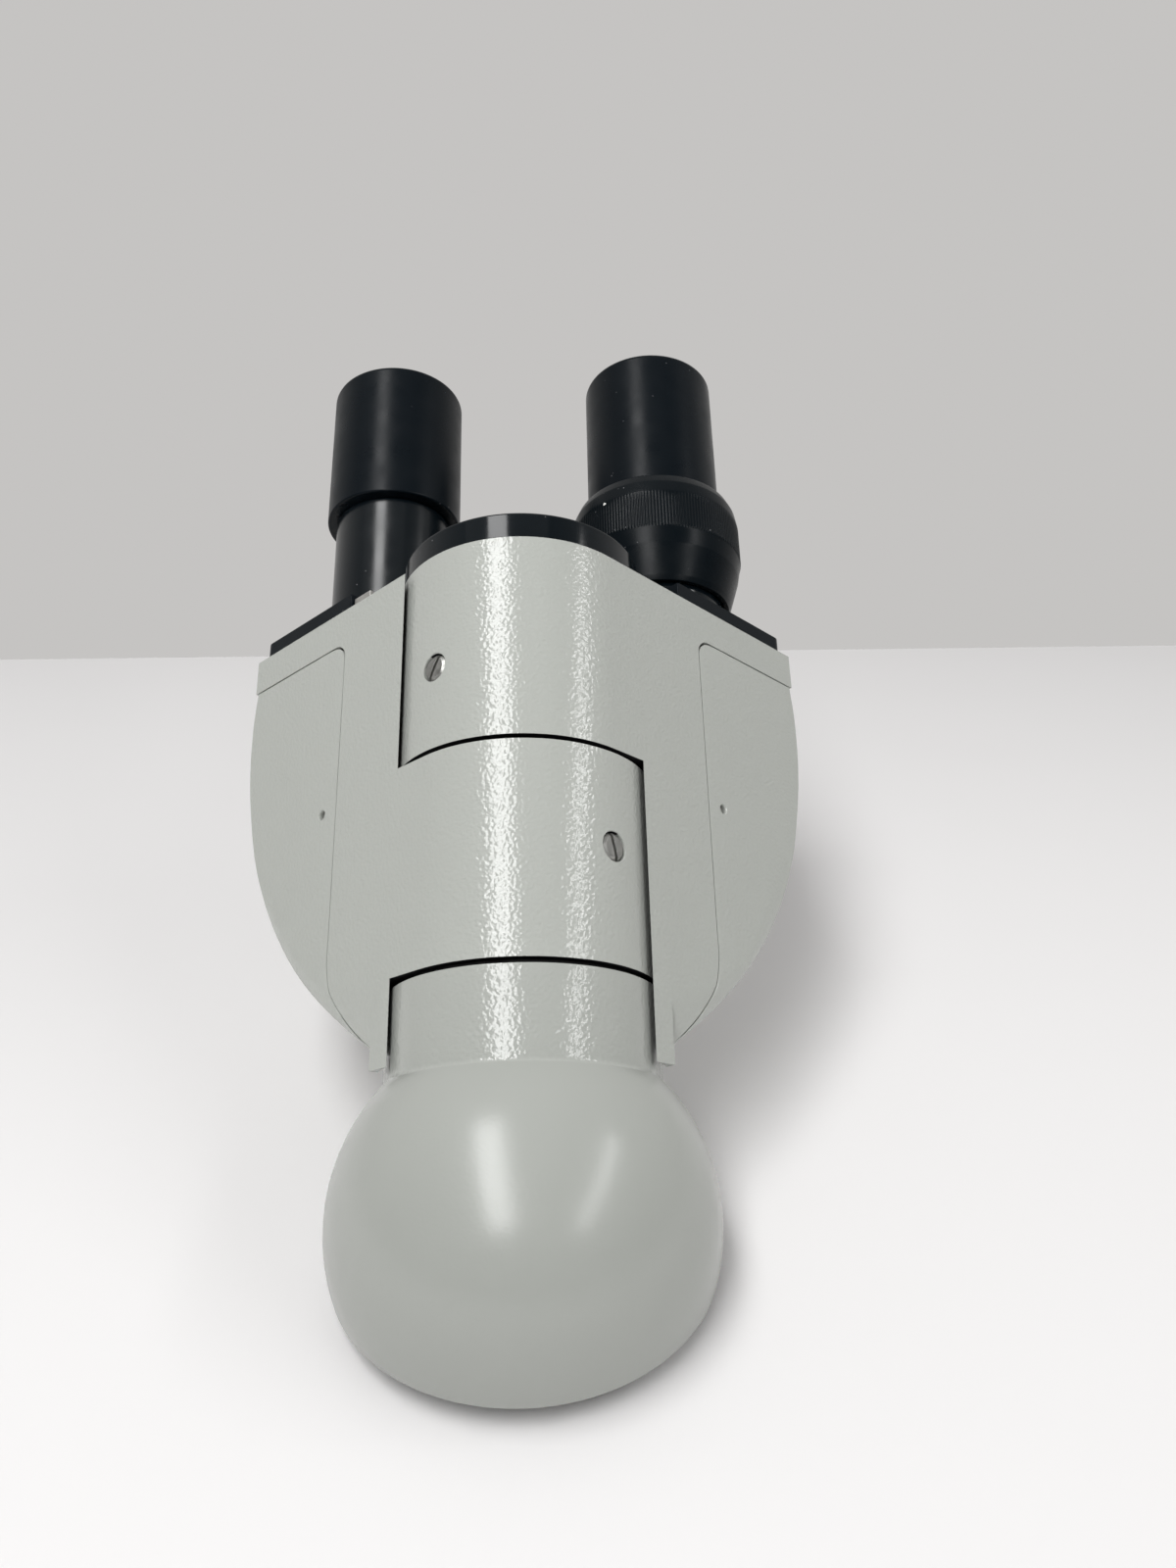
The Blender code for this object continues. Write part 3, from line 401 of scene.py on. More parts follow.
def relief(material, layers):
    """Bumps from (height, depth in metres) layers, one on another."""
    normal = None
    for height, depth in layers:
        made = node(material, "ShaderNodeBump", Height=height, Distance=depth, Strength=1.0)
        if normal:
            material.node_tree.links.new(normal, made.inputs["Normal"])
        normal = made.outputs["Normal"]
    wire(material, normal, "Normal")


def specks(material, size, share):
    """1 on sparse round specks, and 0 elsewhere."""
    cells = node(
        material, "ShaderNodeTexVoronoi", {"feature": "F1"}, Vector=place_of(material), Scale=1 / size
    ).outputs["Distance"]
    patches = grain(material, size * 6, detail=1)
    near = spread(material, cells, 0.03, 0.09, 1.0, 0.0)
    rare = spread(material, patches, 1 - share - 0.02, 1 - share, 0.0, 1.0)
    return node(material, "ShaderNodeMath", {"operation": "MULTIPLY"}, i_0=near, i_1=rare).outputs[0]


def enamel(name, colour, roughness, peel):
    """Grey enamel over a casting: orange peel, slight unevenness of tone, and a few specks of dirt."""
    material = look(name, colour, roughness)
    tone = spread(material, grain(material, 22 * MM, 2), 0.3, 0.7)
    shade = mixed(material, tone, [c * 0.995 for c in colour], [c * 1.004 for c in colour])
    dirt = specks(material, 5 * MM, 0.3)
    wire(material, mixed(material, dirt, shade, (0.12, 0.12, 0.11)), "Base Color")
    sheen = spread(material, grain(material, 6 * MM, 2), 0.3, 0.7, roughness - 0.01, roughness + 0.01)
    wire(material, sheen, "Roughness")
    relief(material, ((grain(material, 0.7 * MM, 1, roughness=0.3), peel),))
    return material


def blackened(name, colour, roughness, turning=0.0, grit=0.0, shine=0.3):
    """Black lacquer or anodising: turning marks round the axis, fine grit, dust and rubbed patches."""
    material = look(name, colour, roughness, sockets={"Specular IOR Level": shine})
    rubbed = grain(material, 6 * MM, 4)
    wire(material, spread(material, rubbed, 0.3, 0.75, roughness * 0.85, roughness * 1.3), "Roughness")
    dust = specks(material, 2.2 * MM, 0.42)
    wire(material, mixed(material, dust, colour, (0.16, 0.16, 0.17)), "Base Color")
    layers = [(grain(material, 3 * MM, 2), 4e-6)]
    if turning:
        layers.append((grain(material, 0.35 * MM, 3, squeeze=(0.02, 0.02, 1)), turning))
    if grit:
        layers.append((grain(material, 0.22 * MM, 2), grit))
    relief(material, layers)
    return material


def bare_metal(name, colour, roughness, squeeze=(1, 1, 0.05)):
    """Turned or brushed metal with tarnish."""
    material = look(name, colour, roughness, metallic=1.0)
    tarnish = spread(material, grain(material, 2.5 * MM, 4), 0.35, 0.75)
    wire(material, mixed(material, tarnish, colour, [c * 0.72 for c in colour]), "Base Color")
    sheen = spread(material, grain(material, 1.2 * MM, 4), 0.3, 0.7, roughness * 0.7, roughness * 1.4)
    wire(material, sheen, "Roughness")
    relief(material, ((grain(material, 0.3 * MM, 3, squeeze), 6e-6),))
    return material


def clear_glass(name, colour, film):
    """Polished glass, with a coating on the lenses, and a trace of dust."""
    film = {"Thin Film Thickness": film, "Thin Film IOR": 1.38}
    material = look(name, colour, 0.03, sockets={"Transmission Weight": 1.0, "IOR": 1.52, **film})
    wire(material, spread(material, specks(material, 1.4 * MM, 0.45), 0, 1, 0.02, 0.35), "Roughness")
    return material


def soft_rubber(name, colour):
    """Matt moulded rubber."""
    material = look(name, colour, 0.75)
    tone = spread(material, grain(material, 0.8 * MM, 3), 0.3, 0.7)
    wire(material, mixed(material, tone, colour, [c * 1.6 for c in colour]), "Base Color")
    relief(material, ((grain(material, 0.3 * MM, 3), 2e-5),))
    return material


def white_mark(name, colour):
    """Paint in an engraved mark, a little worn."""
    material = look(name, colour, 0.5)
    worn = spread(material, grain(material, 0.5 * MM, 3), 0.55, 0.75)
    wire(material, mixed(material, worn, colour, (0.3, 0.3, 0.3)), "Base Color")
    return material


GREY = (0.44, 0.455, 0.425)
PAINT = enamel("grey_enamel", GREY, 0.12, 115e-6)
# The dome's enamel is darker than the wings': painted shade on the dome. The neck's enamel is a little darker than
# the wings' too.
DOME_PAINT = enamel("grey_enamel_dome", [c * 0.87 for c in GREY], 0.25, 14e-6)
NECK_PAINT = enamel("grey_enamel_neck", [c * 0.93 for c in GREY], 0.13, 105e-6)
GLOSS_BLACK = blackened("black_lacquer", (0.0025, 0.005, 0.007), 0.11, turning=3e-6)
TUBE_BLACK = blackened("black_tube", (0.0025, 0.005, 0.007), 0.2, turning=3e-6, shine=0.38)
SATIN_BLACK = blackened("black_satin", (0.003, 0.0055, 0.008), 0.3, grit=5e-6, shine=0.11)
RING_BLACK = blackened("black_ring", (0.0028, 0.0052, 0.0072), 0.28, turning=4e-6, shine=0.11)
# Black of the lens cell, lens rings and hidden solids; on the knuckles' end faces and hollows it is painted shade
# in the gaps.
INNER_BLACK_AND_GAP_SHADE = blackened("black_inside_and_gap_shade", (0.008, 0.008, 0.009), 0.65, grit=1e-5)
# Painted shadow: the washers in the knuckle gaps get this near-black in place of their own metal, where the gaps
# lie in shade.
SHADOW_BLACK = blackened("black_oiled", (0.003, 0.003, 0.003), 0.8)
DARK_STEEL = bare_metal("blackened_steel", (0.09, 0.09, 0.095), 0.4)
STEEL = bare_metal("bare_steel", (0.43, 0.43, 0.41), 0.46)
PALE_METAL = bare_metal("frosted_metal", (0.62, 0.61, 0.58), 0.5)
BRASS = bare_metal("turned_brass", (0.62, 0.44, 0.18), 0.3)
RUBBER = soft_rubber("black_rubber", (0.022, 0.022, 0.023))
LENS_GLASS = clear_glass("coated_glass", (0.97, 0.99, 0.98), 130)
PRISM_GLASS = clear_glass("prism_glass", (0.9, 0.96, 0.94), 0)
MARKING = white_mark("white_mark", (0.75, 0.75, 0.72))


# -------------------- base


def make_dome():
    """The domed casting and the base's knuckle, a shell with a flat seat."""
    knuckle_end = LOWER_SPLIT - SPLIT_GAP / 2
    neck, fillet = HINGE_RADIUS, 1.5 * MM

    def profile(radius, neck, top, edge):
        """From the knuckle's top down its side, and round the dome to the axis."""
        height = math.sqrt((radius + fillet) ** 2 - (neck + fillet) ** 2)
        meet = math.degrees(math.atan2(height, neck + fillet))
        points = [(neck - edge, top), (neck - edge * 0.3, top - edge * 0.3), (neck, top - edge)]
        points += [(neck, top - (top - height - fillet) * f) for f in (0.4, 0.8)]
        points += arc(fillet, 180, 180 + meet, 6, (neck + fillet, height))
        return points + arc(radius, meet - 1.5, -90, 88)

    past = 60 * MM
    outline = [(0, knuckle_end)] + profile(DOME_RADIUS, neck, knuckle_end, EDGE)
    outer = lathe("dome_shell", outline, HINGE, 224)
    outline = [(0, past)] + profile(DOME_RADIUS - DOME_WALL, HINGE_BORE, past, 0)
    hollow = lathe("cut_hollow", outline, HINGE, 96)
    underside = prism("cut_underside", bar(2 * past, 2 * past), -past, SEAT_Z, UPRIGHT)
    boolean(outer, "DIFFERENCE", hollow, underside)
    edges_rounded(outer, 0.5 * MM, 3, 50)
    done(outer, "base", DOME_PAINT, "grey_paint_dome", "dome_housing")
    # Painted shade on the neck's top face, in the gap under the lowest knuckle.
    blacken_bearings(outer)
    outer.data.materials.append(NECK_PAINT)
    to_hinge = HINGE.inverted()
    for face in outer.data.polygons:
        centre = to_hinge @ face.center
        on_neck = centre.z > 0 and math.hypot(centre.x, centre.y) < neck + 0.3 * MM
        if face.material_index == 0 and on_neck:
            face.material_index = 2


def countersunk(name, head, shank, bottom, top, matrix, node_name):
    """A cross-slotted screw, its head at the bottom."""
    depth = head - shank
    profile = [(0, bottom), (head, bottom, 0.15 * MM), (head, bottom + 0.3 * MM)]
    profile += [(shank, bottom + 0.3 * MM + depth), (shank, top, 0.2 * MM), (0, top)]
    screw = lathe(name, rounded(profile, 0.05 * MM, 2), matrix, 40)
    for turn in (0, math.pi / 2):
        across = matrix @ Matrix.Rotation(turn + 0.4, 4, "Z")
        arm = bar(head * 1.24, 0.56 * MM)
        boolean(screw, "DIFFERENCE", prism("cut_slot", arm, bottom - 1 * MM, bottom + 0.7 * MM, across))
    done(screw, "base", STEEL, "steel", node_name)


def make_underside():
    """The dovetail, the plate above it, the lens cell and their screws."""
    top_radius = DOVETAIL_RADIUS - DOVETAIL_HEIGHT * math.tan(DOVETAIL_FLANK)
    outline = [(top_radius, DOVETAIL_HEIGHT), (DOVETAIL_RADIUS, 0.6 * MM, 0.3 * MM)]
    outline += [(DOVETAIL_RADIUS - 0.3 * MM, 0), (LIGHT_ENTRY, 0, 0.4 * MM), (LIGHT_ENTRY, DOVETAIL_HEIGHT)]
    dovetail = lathe("dovetail", rounded(outline, 0.15 * MM), UPRIGHT)
    plate_top = SEAT_Z + BASE_PLATE_THICKNESS
    outline = [(BASE_PLATE_RADIUS, plate_top), (BASE_PLATE_RADIUS, SEAT_Z)]
    outline += [(LIGHT_ENTRY, SEAT_Z), (LIGHT_ENTRY, plate_top)]
    plate = lathe("base_plate_disc", rounded(outline, 0.3 * MM), UPRIGHT)
    for label, part, circle, first, head, shank, bottom, top, sink in (
        (
            "dovetail", dovetail, DOVETAIL_SCREW_CIRCLE, 30, DOVETAIL_SCREW_HEAD, DOVETAIL_SCREW_SHANK,
            0.3 * MM, 7.3 * MM, (-1 * MM, 0.6 * MM, 2.0 * MM, 9 * MM),
        ),
        (
            "base", plate, BASE_SCREW_CIRCLE, 90, BASE_SCREW_HEAD, BASE_SCREW_SHANK,
            SEAT_Z + 0.4 * MM, 13.3 * MM, (0, SEAT_Z + 2.2 * MM, SEAT_Z + 2.2 * MM, 20 * MM),
        ),
    ):
        wide, narrow = head + 0.3 * MM, shank + 0.3 * MM
        low, cone, step, high = sink
        outline = [(0, low), (wide, low), (wide, cone), (narrow, step), (narrow, high), (0, high)]
        for i, (x, y) in enumerate(arc(circle, first, first + 240, 2), 1):
            here = Matrix.Translation((x, y, 0))
            boolean(part, "DIFFERENCE", lathe("cut_sink", outline, here, 40))
            name, node_name = f"{label}_screw_head_{i}", f"{label}_screw_{i}"
            countersunk(name, head, shank, bottom, top, here, node_name)
    done(dovetail, "base", STEEL, "steel", "dovetail_ring")
    done(plate, "base", DARK_STEEL, "dark_metal", "base_plate")
    outer, inner, lip, ledge, foot = 13.7 * MM, 12.8 * MM, 11.2 * MM, 2.6 * MM, 1 * MM
    outline = [(outer, plate_top), (outer, foot), (lip, foot, 0.5 * MM), (lip, ledge)]
    outline += [(inner, ledge), (inner, plate_top)]
    cell = lathe("lens_cell", rounded(outline, 0.12 * MM), UPRIGHT)
    done(cell, "base", INNER_BLACK_AND_GAP_SHADE, "black_metal", "tube_lens_cell")
    make_lens("tube_lens_glass", 12.5 * MM, 2.9 * MM, 2.4 * MM, 1.0 * MM, UPRIGHT, "base", "tube_lens")


def make_lens(name, radius, low, edge, bulge, matrix, body, node_name):
    """A lens with a flat lower face and a domed upper one."""
    sphere = (radius**2 + bulge**2) / (2 * bulge)
    half_angle = math.degrees(math.asin(radius / sphere))
    crown = arc(sphere, 90, 90 - half_angle, 14, (0, low + edge + bulge - sphere))
    profile = [(0, crown[0][1])] + crown[1:] + [(radius, low), (0, low)]
    done(lathe(name, profile, matrix, 96), body, LENS_GLASS, "glass", node_name)


# -------------------- wings


def joint_foot(gap=0.0):
    """The foot of the line between casting and cover, from the leg up to its straight part."""
    points = [(12.6, 27.6), (17.5, 31.3), (21.9, 35.6), (25.2, 40.6), (26.7, 46.5), (26.7, 52.0)]
    return through([(t * MM + gap, height * MM) for t, height in points], 26)


def joint_line(gap=0.0):
    """The line between casting and cover, from the leg up and out under the flange."""
    edge, shelf, corner = FRAME_EDGE + gap, HINGE_TOP - FLANGE_THICKNESS - gap, 3.5 * MM
    return joint_foot(gap) + arc(corner, 180, 90, 10, (edge + corner, shelf - corner))


def crease():
    """Where the flat front ends and the facet begins: across the foot, then up inside the cover's rim."""
    points = mm((8.0, 34.3), (12.6, 36.1), (21.1, 39.3), (26.7, 41.7), (31.2, 44.4), (36.8, 48.9))
    points += mm((43.8, 57.6), (49.9, 66.4), (54.6, 75.0), (57.6, 84.5), (59.3, 94.5))
    points += mm((60.2, 107), (60.4, 120))
    return through(points, 140)


CREASE = crease()


def facet_depth(t, height):
    """How far the front face has dropped back at this place."""
    best, inside = 1.0, True
    for (ax, ay), (bx, by) in zip(CREASE, CREASE[1:]):
        dx, dy = bx - ax, by - ay
        f = min(max(((t - ax) * dx + (height - ay) * dy) / (dx * dx + dy * dy), 0), 1)
        away = math.hypot(t - ax - f * dx, height - ay - f * dy)
        if away < best:
            best, inside = away, dx * (height - ay) - dy * (t - ax) > 0
    return 0 if inside else best * FACET_SLOPE


def wing_body(side, low, high):
    """The casting as a stack of outlines along the hinge: its knuckle, and clear of the others' elsewhere."""
    steps = 72
    front_meet, back_meet = math.acos(WING_FRONT / SWING_CLEARANCE), math.acos(WING_BACK / SWING_CLEARANCE)
    angles = [front_meet + (back_meet - front_meet) * i / steps for i in range(steps + 1)]
    clear = [(SWING_CLEARANCE * math.sin(a), SWING_CLEARANCE * math.cos(a)) for a in angles]
    start = math.acos(WING_BACK / HINGE_RADIUS)
    angles = [start + (2 * math.pi - start) * i / (2 * steps) for i in range(2 * steps + 1)]
    knuckle = [(HINGE_RADIUS * math.sin(a), HINGE_RADIUS * math.cos(a)) for a in angles]
    outer = [(FLANGE_END, WING_FRONT), (FLANGE_END, WING_BACK)]
    with_knuckle = [(0, WING_FRONT)] + outer + knuckle[:-1]
    free = [clear[0]] + outer + list(reversed(clear))[:-1]
    body = wing_slab(f"{LABEL[side]}_casting", with_knuckle, low, high, side)
    pieces = [wing_slab("join_below", free, LEG_BOTTOM, low + JOIN_OVERLAP, side)]
    if high < HINGE_TOP:
        pieces.append(wing_slab("join_above", free, high - JOIN_OVERLAP, HINGE_TOP, side))
    boolean(body, "UNION", *pieces)
    return body


def facet_cutter(side):
    """The wedge that takes the facet off the casting's foot, beside the leg."""
    reach, drop, past = 45 * MM, 30 * MM, 5 * MM
    to_wing = wing_point(side)
    leg, height = FACET_START
    slope = (FACET_END[1] - height) / (FACET_END[0] - leg)
    along = Vector((1, slope)).normalized()
    down = Vector((along.y, -along.x))
    start, end = Vector(FACET_START), Vector((leg + reach, height + slope * reach))
    wedge = bmesh.new()
    loops = []
    for corner, foot in ((start, Vector((leg, height - drop))), (end, end + down * drop)):
        deep = FACET_SLOPE * abs((foot - corner).dot(down))
        loops.append([
            wedge.verts.new(to_wing(corner.x, corner.y, WING_FRONT)),
            wedge.verts.new(to_wing(corner.x, corner.y, WING_FRONT + past)),
            wedge.verts.new(to_wing(foot.x, foot.y, WING_FRONT + past)),
            wedge.verts.new(to_wing(foot.x, foot.y, WING_FRONT - deep)),
        ])
    wedge.faces.new(loops[0])
    wedge.faces.new(loops[1])
    skin(wedge, *loops)
    bmesh.ops.recalc_face_normals(wedge, faces=wedge.faces)
    return place("cut_facet", wedge, WING[side])


def make_casting(side, low, high):
    """A wing's casting with its knuckle, without the part that the cover closes."""
    body = wing_body(side, low, high)
    line = joint_line()
    below, beyond, half = 15 * MM, 90 * MM, 40 * MM
    outside = [(LEG_EDGE, below)] + line + [(beyond, line[-1][1]), (beyond, below)]
    cut_cover = prism("cut_cover", outside, -half, half, WING[side], wing_point(side))
    cut_facet = facet_cutter(side)
    bore = cylinder("cut_bore", HINGE_BORE, low - 2 * MM, high + 2 * MM, HINGE, 96)
    tube_hole = cylinder("cut_tube", TUBE_RADIUS + TUBE_GAP, -20 * MM, 5 * MM, TUBE[side], 96)
    boolean(body, "DIFFERENCE", cut_cover, cut_facet, bore, tube_hole)
    return body


def cover_section(inner, outer, inward):
    """The cover's section from the line to its rim and round to the back, as (point, forward) pairs."""
    side_depth, back_depth = 3 * MM, 1.2 * MM
    rolled = [math.radians(degrees) for degrees in (30, 60, 90)]
    roll = min(EDGE, 0.3 * (inner - outer).length)
    flat = [inner + (outer + inward * roll - inner) * f for f in (0, 0.05, 0.3, 0.55, 0.7, 0.8, 0.9, 1)]
    section = [(p, WING_FRONT - facet_depth(p.x, p.y)) for p in flat]
    section[0] = (flat[0], section[0][1] - 0.12 * MM)
    low_front = WING_FRONT - facet_depth(outer.x, outer.y)
    section += [
        (outer + inward * roll * (1 - math.sin(a)), low_front - roll * (1 - math.cos(a))) for a in rolled
    ]
    section += [(outer, low_front - side_depth), (outer, WING_BACK + back_depth)]
    section += [
        (outer + inward * roll * 2 * (1 - math.cos(a)), WING_BACK + back_depth * (1 - math.sin(a)))
        for a in rolled
    ]
    return section + [(inner, WING_BACK)]


def make_cover(side):
    """The D-shaped cover, lofted from the flange down to its foot, and its pin."""
    stations = 110
    points = mm((58.9, 115.1), (59.7, 107.0), (59.4, 96.5), (57.8, 86.5), (54.4, 73.9), (49.6, 63.0))
    points += mm((43.0, 53.3), (34.2, 43.9), (24.4, 35.6), (14.2, 28.2))
    rim = through(points, stations)
    line = evenly(list(reversed(joint_line(SEAM))), stations)
    bm = bmesh.new()
    to_wing = wing_point(side)
    loops = []
    for i, (inner, outer) in enumerate(zip(line, rim)):
        along = (Vector(rim[min(i + 1, stations - 1)]) - Vector(rim[max(i - 1, 0)])).normalized()
        inward = Vector((along.y, -along.x)) if i else Vector((-1, 0))
        section = cover_section(Vector(inner), Vector(outer), inward)
        loops.append([bm.verts.new(to_wing(p.x, p.y, forward)) for p, forward in section])
    for first, second in zip(loops, loops[1:]):
        skin(bm, first, second)
    bm.faces.new(loops[0])
    bm.faces.new(loops[-1])
    bmesh.ops.recalc_face_normals(bm, faces=bm.faces)
    cover = place(f"{LABEL[side]}_cover_shell", bm, WING[side])
    here = on_wing(side, *PIN_PLACE, WING_FRONT)
    wide, narrow, deep = 1.15, 0.95, -5
    outline = mm((0, 2), (wide, 2), (wide, 0.05), (narrow, -0.25), (narrow, deep), (0, deep))
    dimple = lathe("cut_dimple", outline, here, 32)
    swing = cylinder("cut_swing", SWING_CLEARANCE, 0, 60 * MM, HINGE, 96)
    boolean(cover, "DIFFERENCE", dimple, swing, solver="MANIFOLD")
    done(cover, f"{LABEL[side]}_wing", PAINT, "grey_paint", f"{LABEL[side]}_cover", sharp=30)
    outline = rounded(mm((0, -0.75), (0.7, -0.85), (0.8, -4.5), (0, -4.5)), 0.15 * MM, 3)
    pin = lathe(f"{LABEL[side]}_cover_pin", outline, here, 32)
    done(pin, f"{LABEL[side]}_wing", STEEL, "steel", f"{LABEL[side]}_cover_screw")


def make_knuckle_screw(side, casting):
    """A slotted screw in a counterbore of the knuckle."""
    angle, height, slot_turn = KNUCKLE_SCREW[side]
    turn = math.radians(angle)
    reach = HINGE_RADIUS + 0.15 * MM
    here = (
        HINGE
        @ Matrix.Translation((math.sin(turn) * reach, -math.cos(turn) * reach, height))
        @ Matrix.Rotation(turn, 4, "Z")
        @ OUTWARD
    )
    mouth, wall, floor = 3.05, 2.85, -2.0
    outline = mm((0, 3), (mouth, 3), (mouth, -0.1), (wall, -0.35), (wall, floor), (0, floor))
    boolean(casting, "DIFFERENCE", lathe("cut_seat", outline, here, 48))
    head, shank, under, tip = 2.62, 1.3, -1.75, -5.6
    profile = mm((0, -0.25), (2.0, -0.32, 0.3), (head, -0.75, 0.2), (head, under))
    profile += mm((shank, under), (shank, tip), (0, tip))
    screw = lathe(f"{LABEL[side]}_knuckle_screw_head", rounded(profile, 0.08 * MM, 3), here, 48)
    across = here @ Matrix.Rotation(math.radians(slot_turn), 4, "Z")
    slot = prism("cut_slot", bar(6.4 * MM, 0.72 * MM), -1.15 * MM, 1 * MM, across)
    boolean(screw, "DIFFERENCE", slot)
    edges_rounded(screw, 0.06 * MM, 1, 60)
    done(screw, f"{LABEL[side]}_wing", STEEL, "steel", f"{LABEL[side]}_knuckle_screw")


def blacken_bearings(casting):
    """Painted shade in the gaps: the faces that run against the next knuckle, and the hollows beside it, are made
    black to stand in for the shade there.
    """
    casting.data.materials.append(INNER_BLACK_AND_GAP_SHADE)
    to_hinge = HINGE.inverted()
    turn = to_hinge.to_3x3()
    for face in casting.data.polygons:
        centre, normal = to_hinge @ face.center, turn @ face.normal
        radius = math.hypot(centre.x, centre.y)
        end = abs(normal.z) > 0.9 and radius < HINGE_RADIUS - 0.2 * MM and centre.z < HINGE_TOP - 1 * MM
        outward = (centre.x * normal.x + centre.y * normal.y) / max(radius, MM)
        hollow = outward < -0.9 and radius < SWING_CLEARANCE + 0.05 * MM
        if end or hollow:
            face.material_index = 1


def disc_room():
    """A cutter that keeps a piece clear of the scale disc."""
    return cylinder("cut_disc", DISC_RADIUS + 0.5 * MM, HINGE_TOP - 5 * MM, HINGE_TOP + 9 * MM, HINGE)


def make_plate(side):
    """The black plate on the flange."""
    start, end, small, corner = PLATE_START[side], FLANGE_END - 2.3 * MM, 0.4 * MM, 2.0 * MM
    front, back = WING_FRONT - 0.4 * MM, WING_BACK + 0.6 * MM
    corners = [(start, back, small), (end, back, corner), (end, front, corner), (start, front, small)]
    outline, low, high = rounded(corners, corner, 8), HINGE_TOP + PLATE_LOW, HINGE_TOP + PLATE_TOP
    plate = wing_slab(f"{LABEL[side]}_plate", outline, low, high, side)
    tube_hole = cylinder("cut_tube", TUBE_RADIUS + TUBE_GAP, -5 * MM, 9 * MM, TUBE[side], 128)
    boolean(plate, "DIFFERENCE", tube_hole)
    boolean(plate, "DIFFERENCE", disc_room())
    edges_rounded(plate, 0.3 * MM, 2, 40)
    done(plate, f"{LABEL[side]}_wing", SATIN_BLACK, "black_metal", f"{LABEL[side]}_top_plate")


def make_wings():
    """Both wings: castings, screws, covers and plates."""
    castings = {}
    for side in (LEFT, RIGHT):
        castings[side] = make_casting(side, *KNUCKLE_SPAN[side])
        make_knuckle_screw(side, castings[side])
    for side, casting in castings.items():
        edges_rounded(casting, 0.3 * MM)
        done(casting, f"{LABEL[side]}_wing", PAINT, "grey_paint", f"{LABEL[side]}_housing", sharp=30)
        # Painted shade on the faces in the knuckle gaps.
        blacken_bearings(casting)
        make_cover(side)
    make_plate(LEFT)
    make_plate(RIGHT)


def make_index():
    """The small bare-metal plate whose thin tongue points at the scale, with its screw."""
    low, tongue_top, block_top = HINGE_TOP + PLATE_LOW, HINGE_TOP + 0.9 * MM, HINGE_TOP + 2.3 * MM
    front, tip, root, end = WING_FRONT - 1.0 * MM, 14.5 * MM, 20.6 * MM, 25.9 * MM
    tongue = [(22 * MM, front), (22 * MM, 15 * MM), (tip, front - 2.2 * MM), (tip, front)]
    block = [(end, front), (end, 12 * MM), (21.5 * MM, 15 * MM), (root, 18 * MM), (root, front)]
    index = wing_slab("index_plate", rounded(block, 0.3 * MM, 3), low, block_top, LEFT)
    join = wing_slab("join_tongue", rounded(tongue, 0.3 * MM, 3), low, tongue_top, LEFT)
    boolean(index, "UNION", join)
    edges_rounded(index, 0.2 * MM, 2, 40)
    done(index, "left_wing", PALE_METAL, "steel", "ipd_index_plate")
    here = WING[LEFT] @ Matrix.Translation((-22.3 * MM, -(front - 2.4 * MM), block_top))
    profile = mm((0, 0.75), (1.1, 0.7, 0.3), (1.25, -0.3), (0, -0.3))
    screw = lathe("index_screw", rounded(profile, 0.05 * MM), here, 40)
    across = here @ Matrix.Rotation(0.5, 4, "Z")
    boolean(screw, "DIFFERENCE", prism("cut_slot", bar(3.2 * MM, 0.32 * MM), 0.35 * MM, 2 * MM, across))
    done(screw, "left_wing", STEEL, "steel")


# -------------------- tubes and eyepieces


def make_left_tube():
    """The fixed tube under the left eyepiece."""
    top = TUBE_TOP[LEFT]
    outline = [(TUBE_RADIUS, top, 0.5 * MM), (TUBE_RADIUS, TUBE_FOOT)]
    outline += [(TUBE_BORE, TUBE_FOOT), (TUBE_BORE, top, 0.3 * MM)]
    tube = lathe("left_tube", rounded(outline, 0.2 * MM), TUBE[LEFT])
    done(tube, "left_wing", TUBE_BLACK, "black_metal", "left_eye_tube")


def make_right_guide():
    """The fixed part of the right tube, with the low collar that it stands on."""
    bearing, collar, bore = TUBE_RADIUS + 1.6 * MM, TUBE_RADIUS + 0.6 * MM, TUBE_RADIUS + TUBE_GAP
    step, top = DISC_TOP + 0.6 * MM, 30 * MM
    seat = step + 1.5 * MM
    outline = [(bearing, top), (bearing, step), (collar, step), (collar, PLATE_TOP)]
    outline += [(TUBE_RADIUS, PLATE_TOP), (TUBE_RADIUS, TUBE_FOOT), (TUBE_BORE, TUBE_FOOT)]
    outline += [(TUBE_BORE, seat), (bore, seat), (bore, top)]
    guide = lathe("right_guide", rounded(outline, 0.15 * MM, 2), TUBE[RIGHT])
    done(guide, "right_wing", GLOSS_BLACK, "black_metal", "right_tube_guide")
    inner, outer, low, high = 14.1 * MM, 16.6 * MM, PLATE_TOP, PLATE_TOP + 1.5 * MM
    outline = [(outer, high, 0.4 * MM), (outer, low), (inner, low), (inner, high, 0.2 * MM)]
    collar_ring = lathe("right_collar", rounded(outline, 0.05 * MM, 3), TUBE[RIGHT])
    boolean(collar_ring, "DIFFERENCE", disc_room())
    done(collar_ring, "right_wing", GLOSS_BLACK, "black_metal")


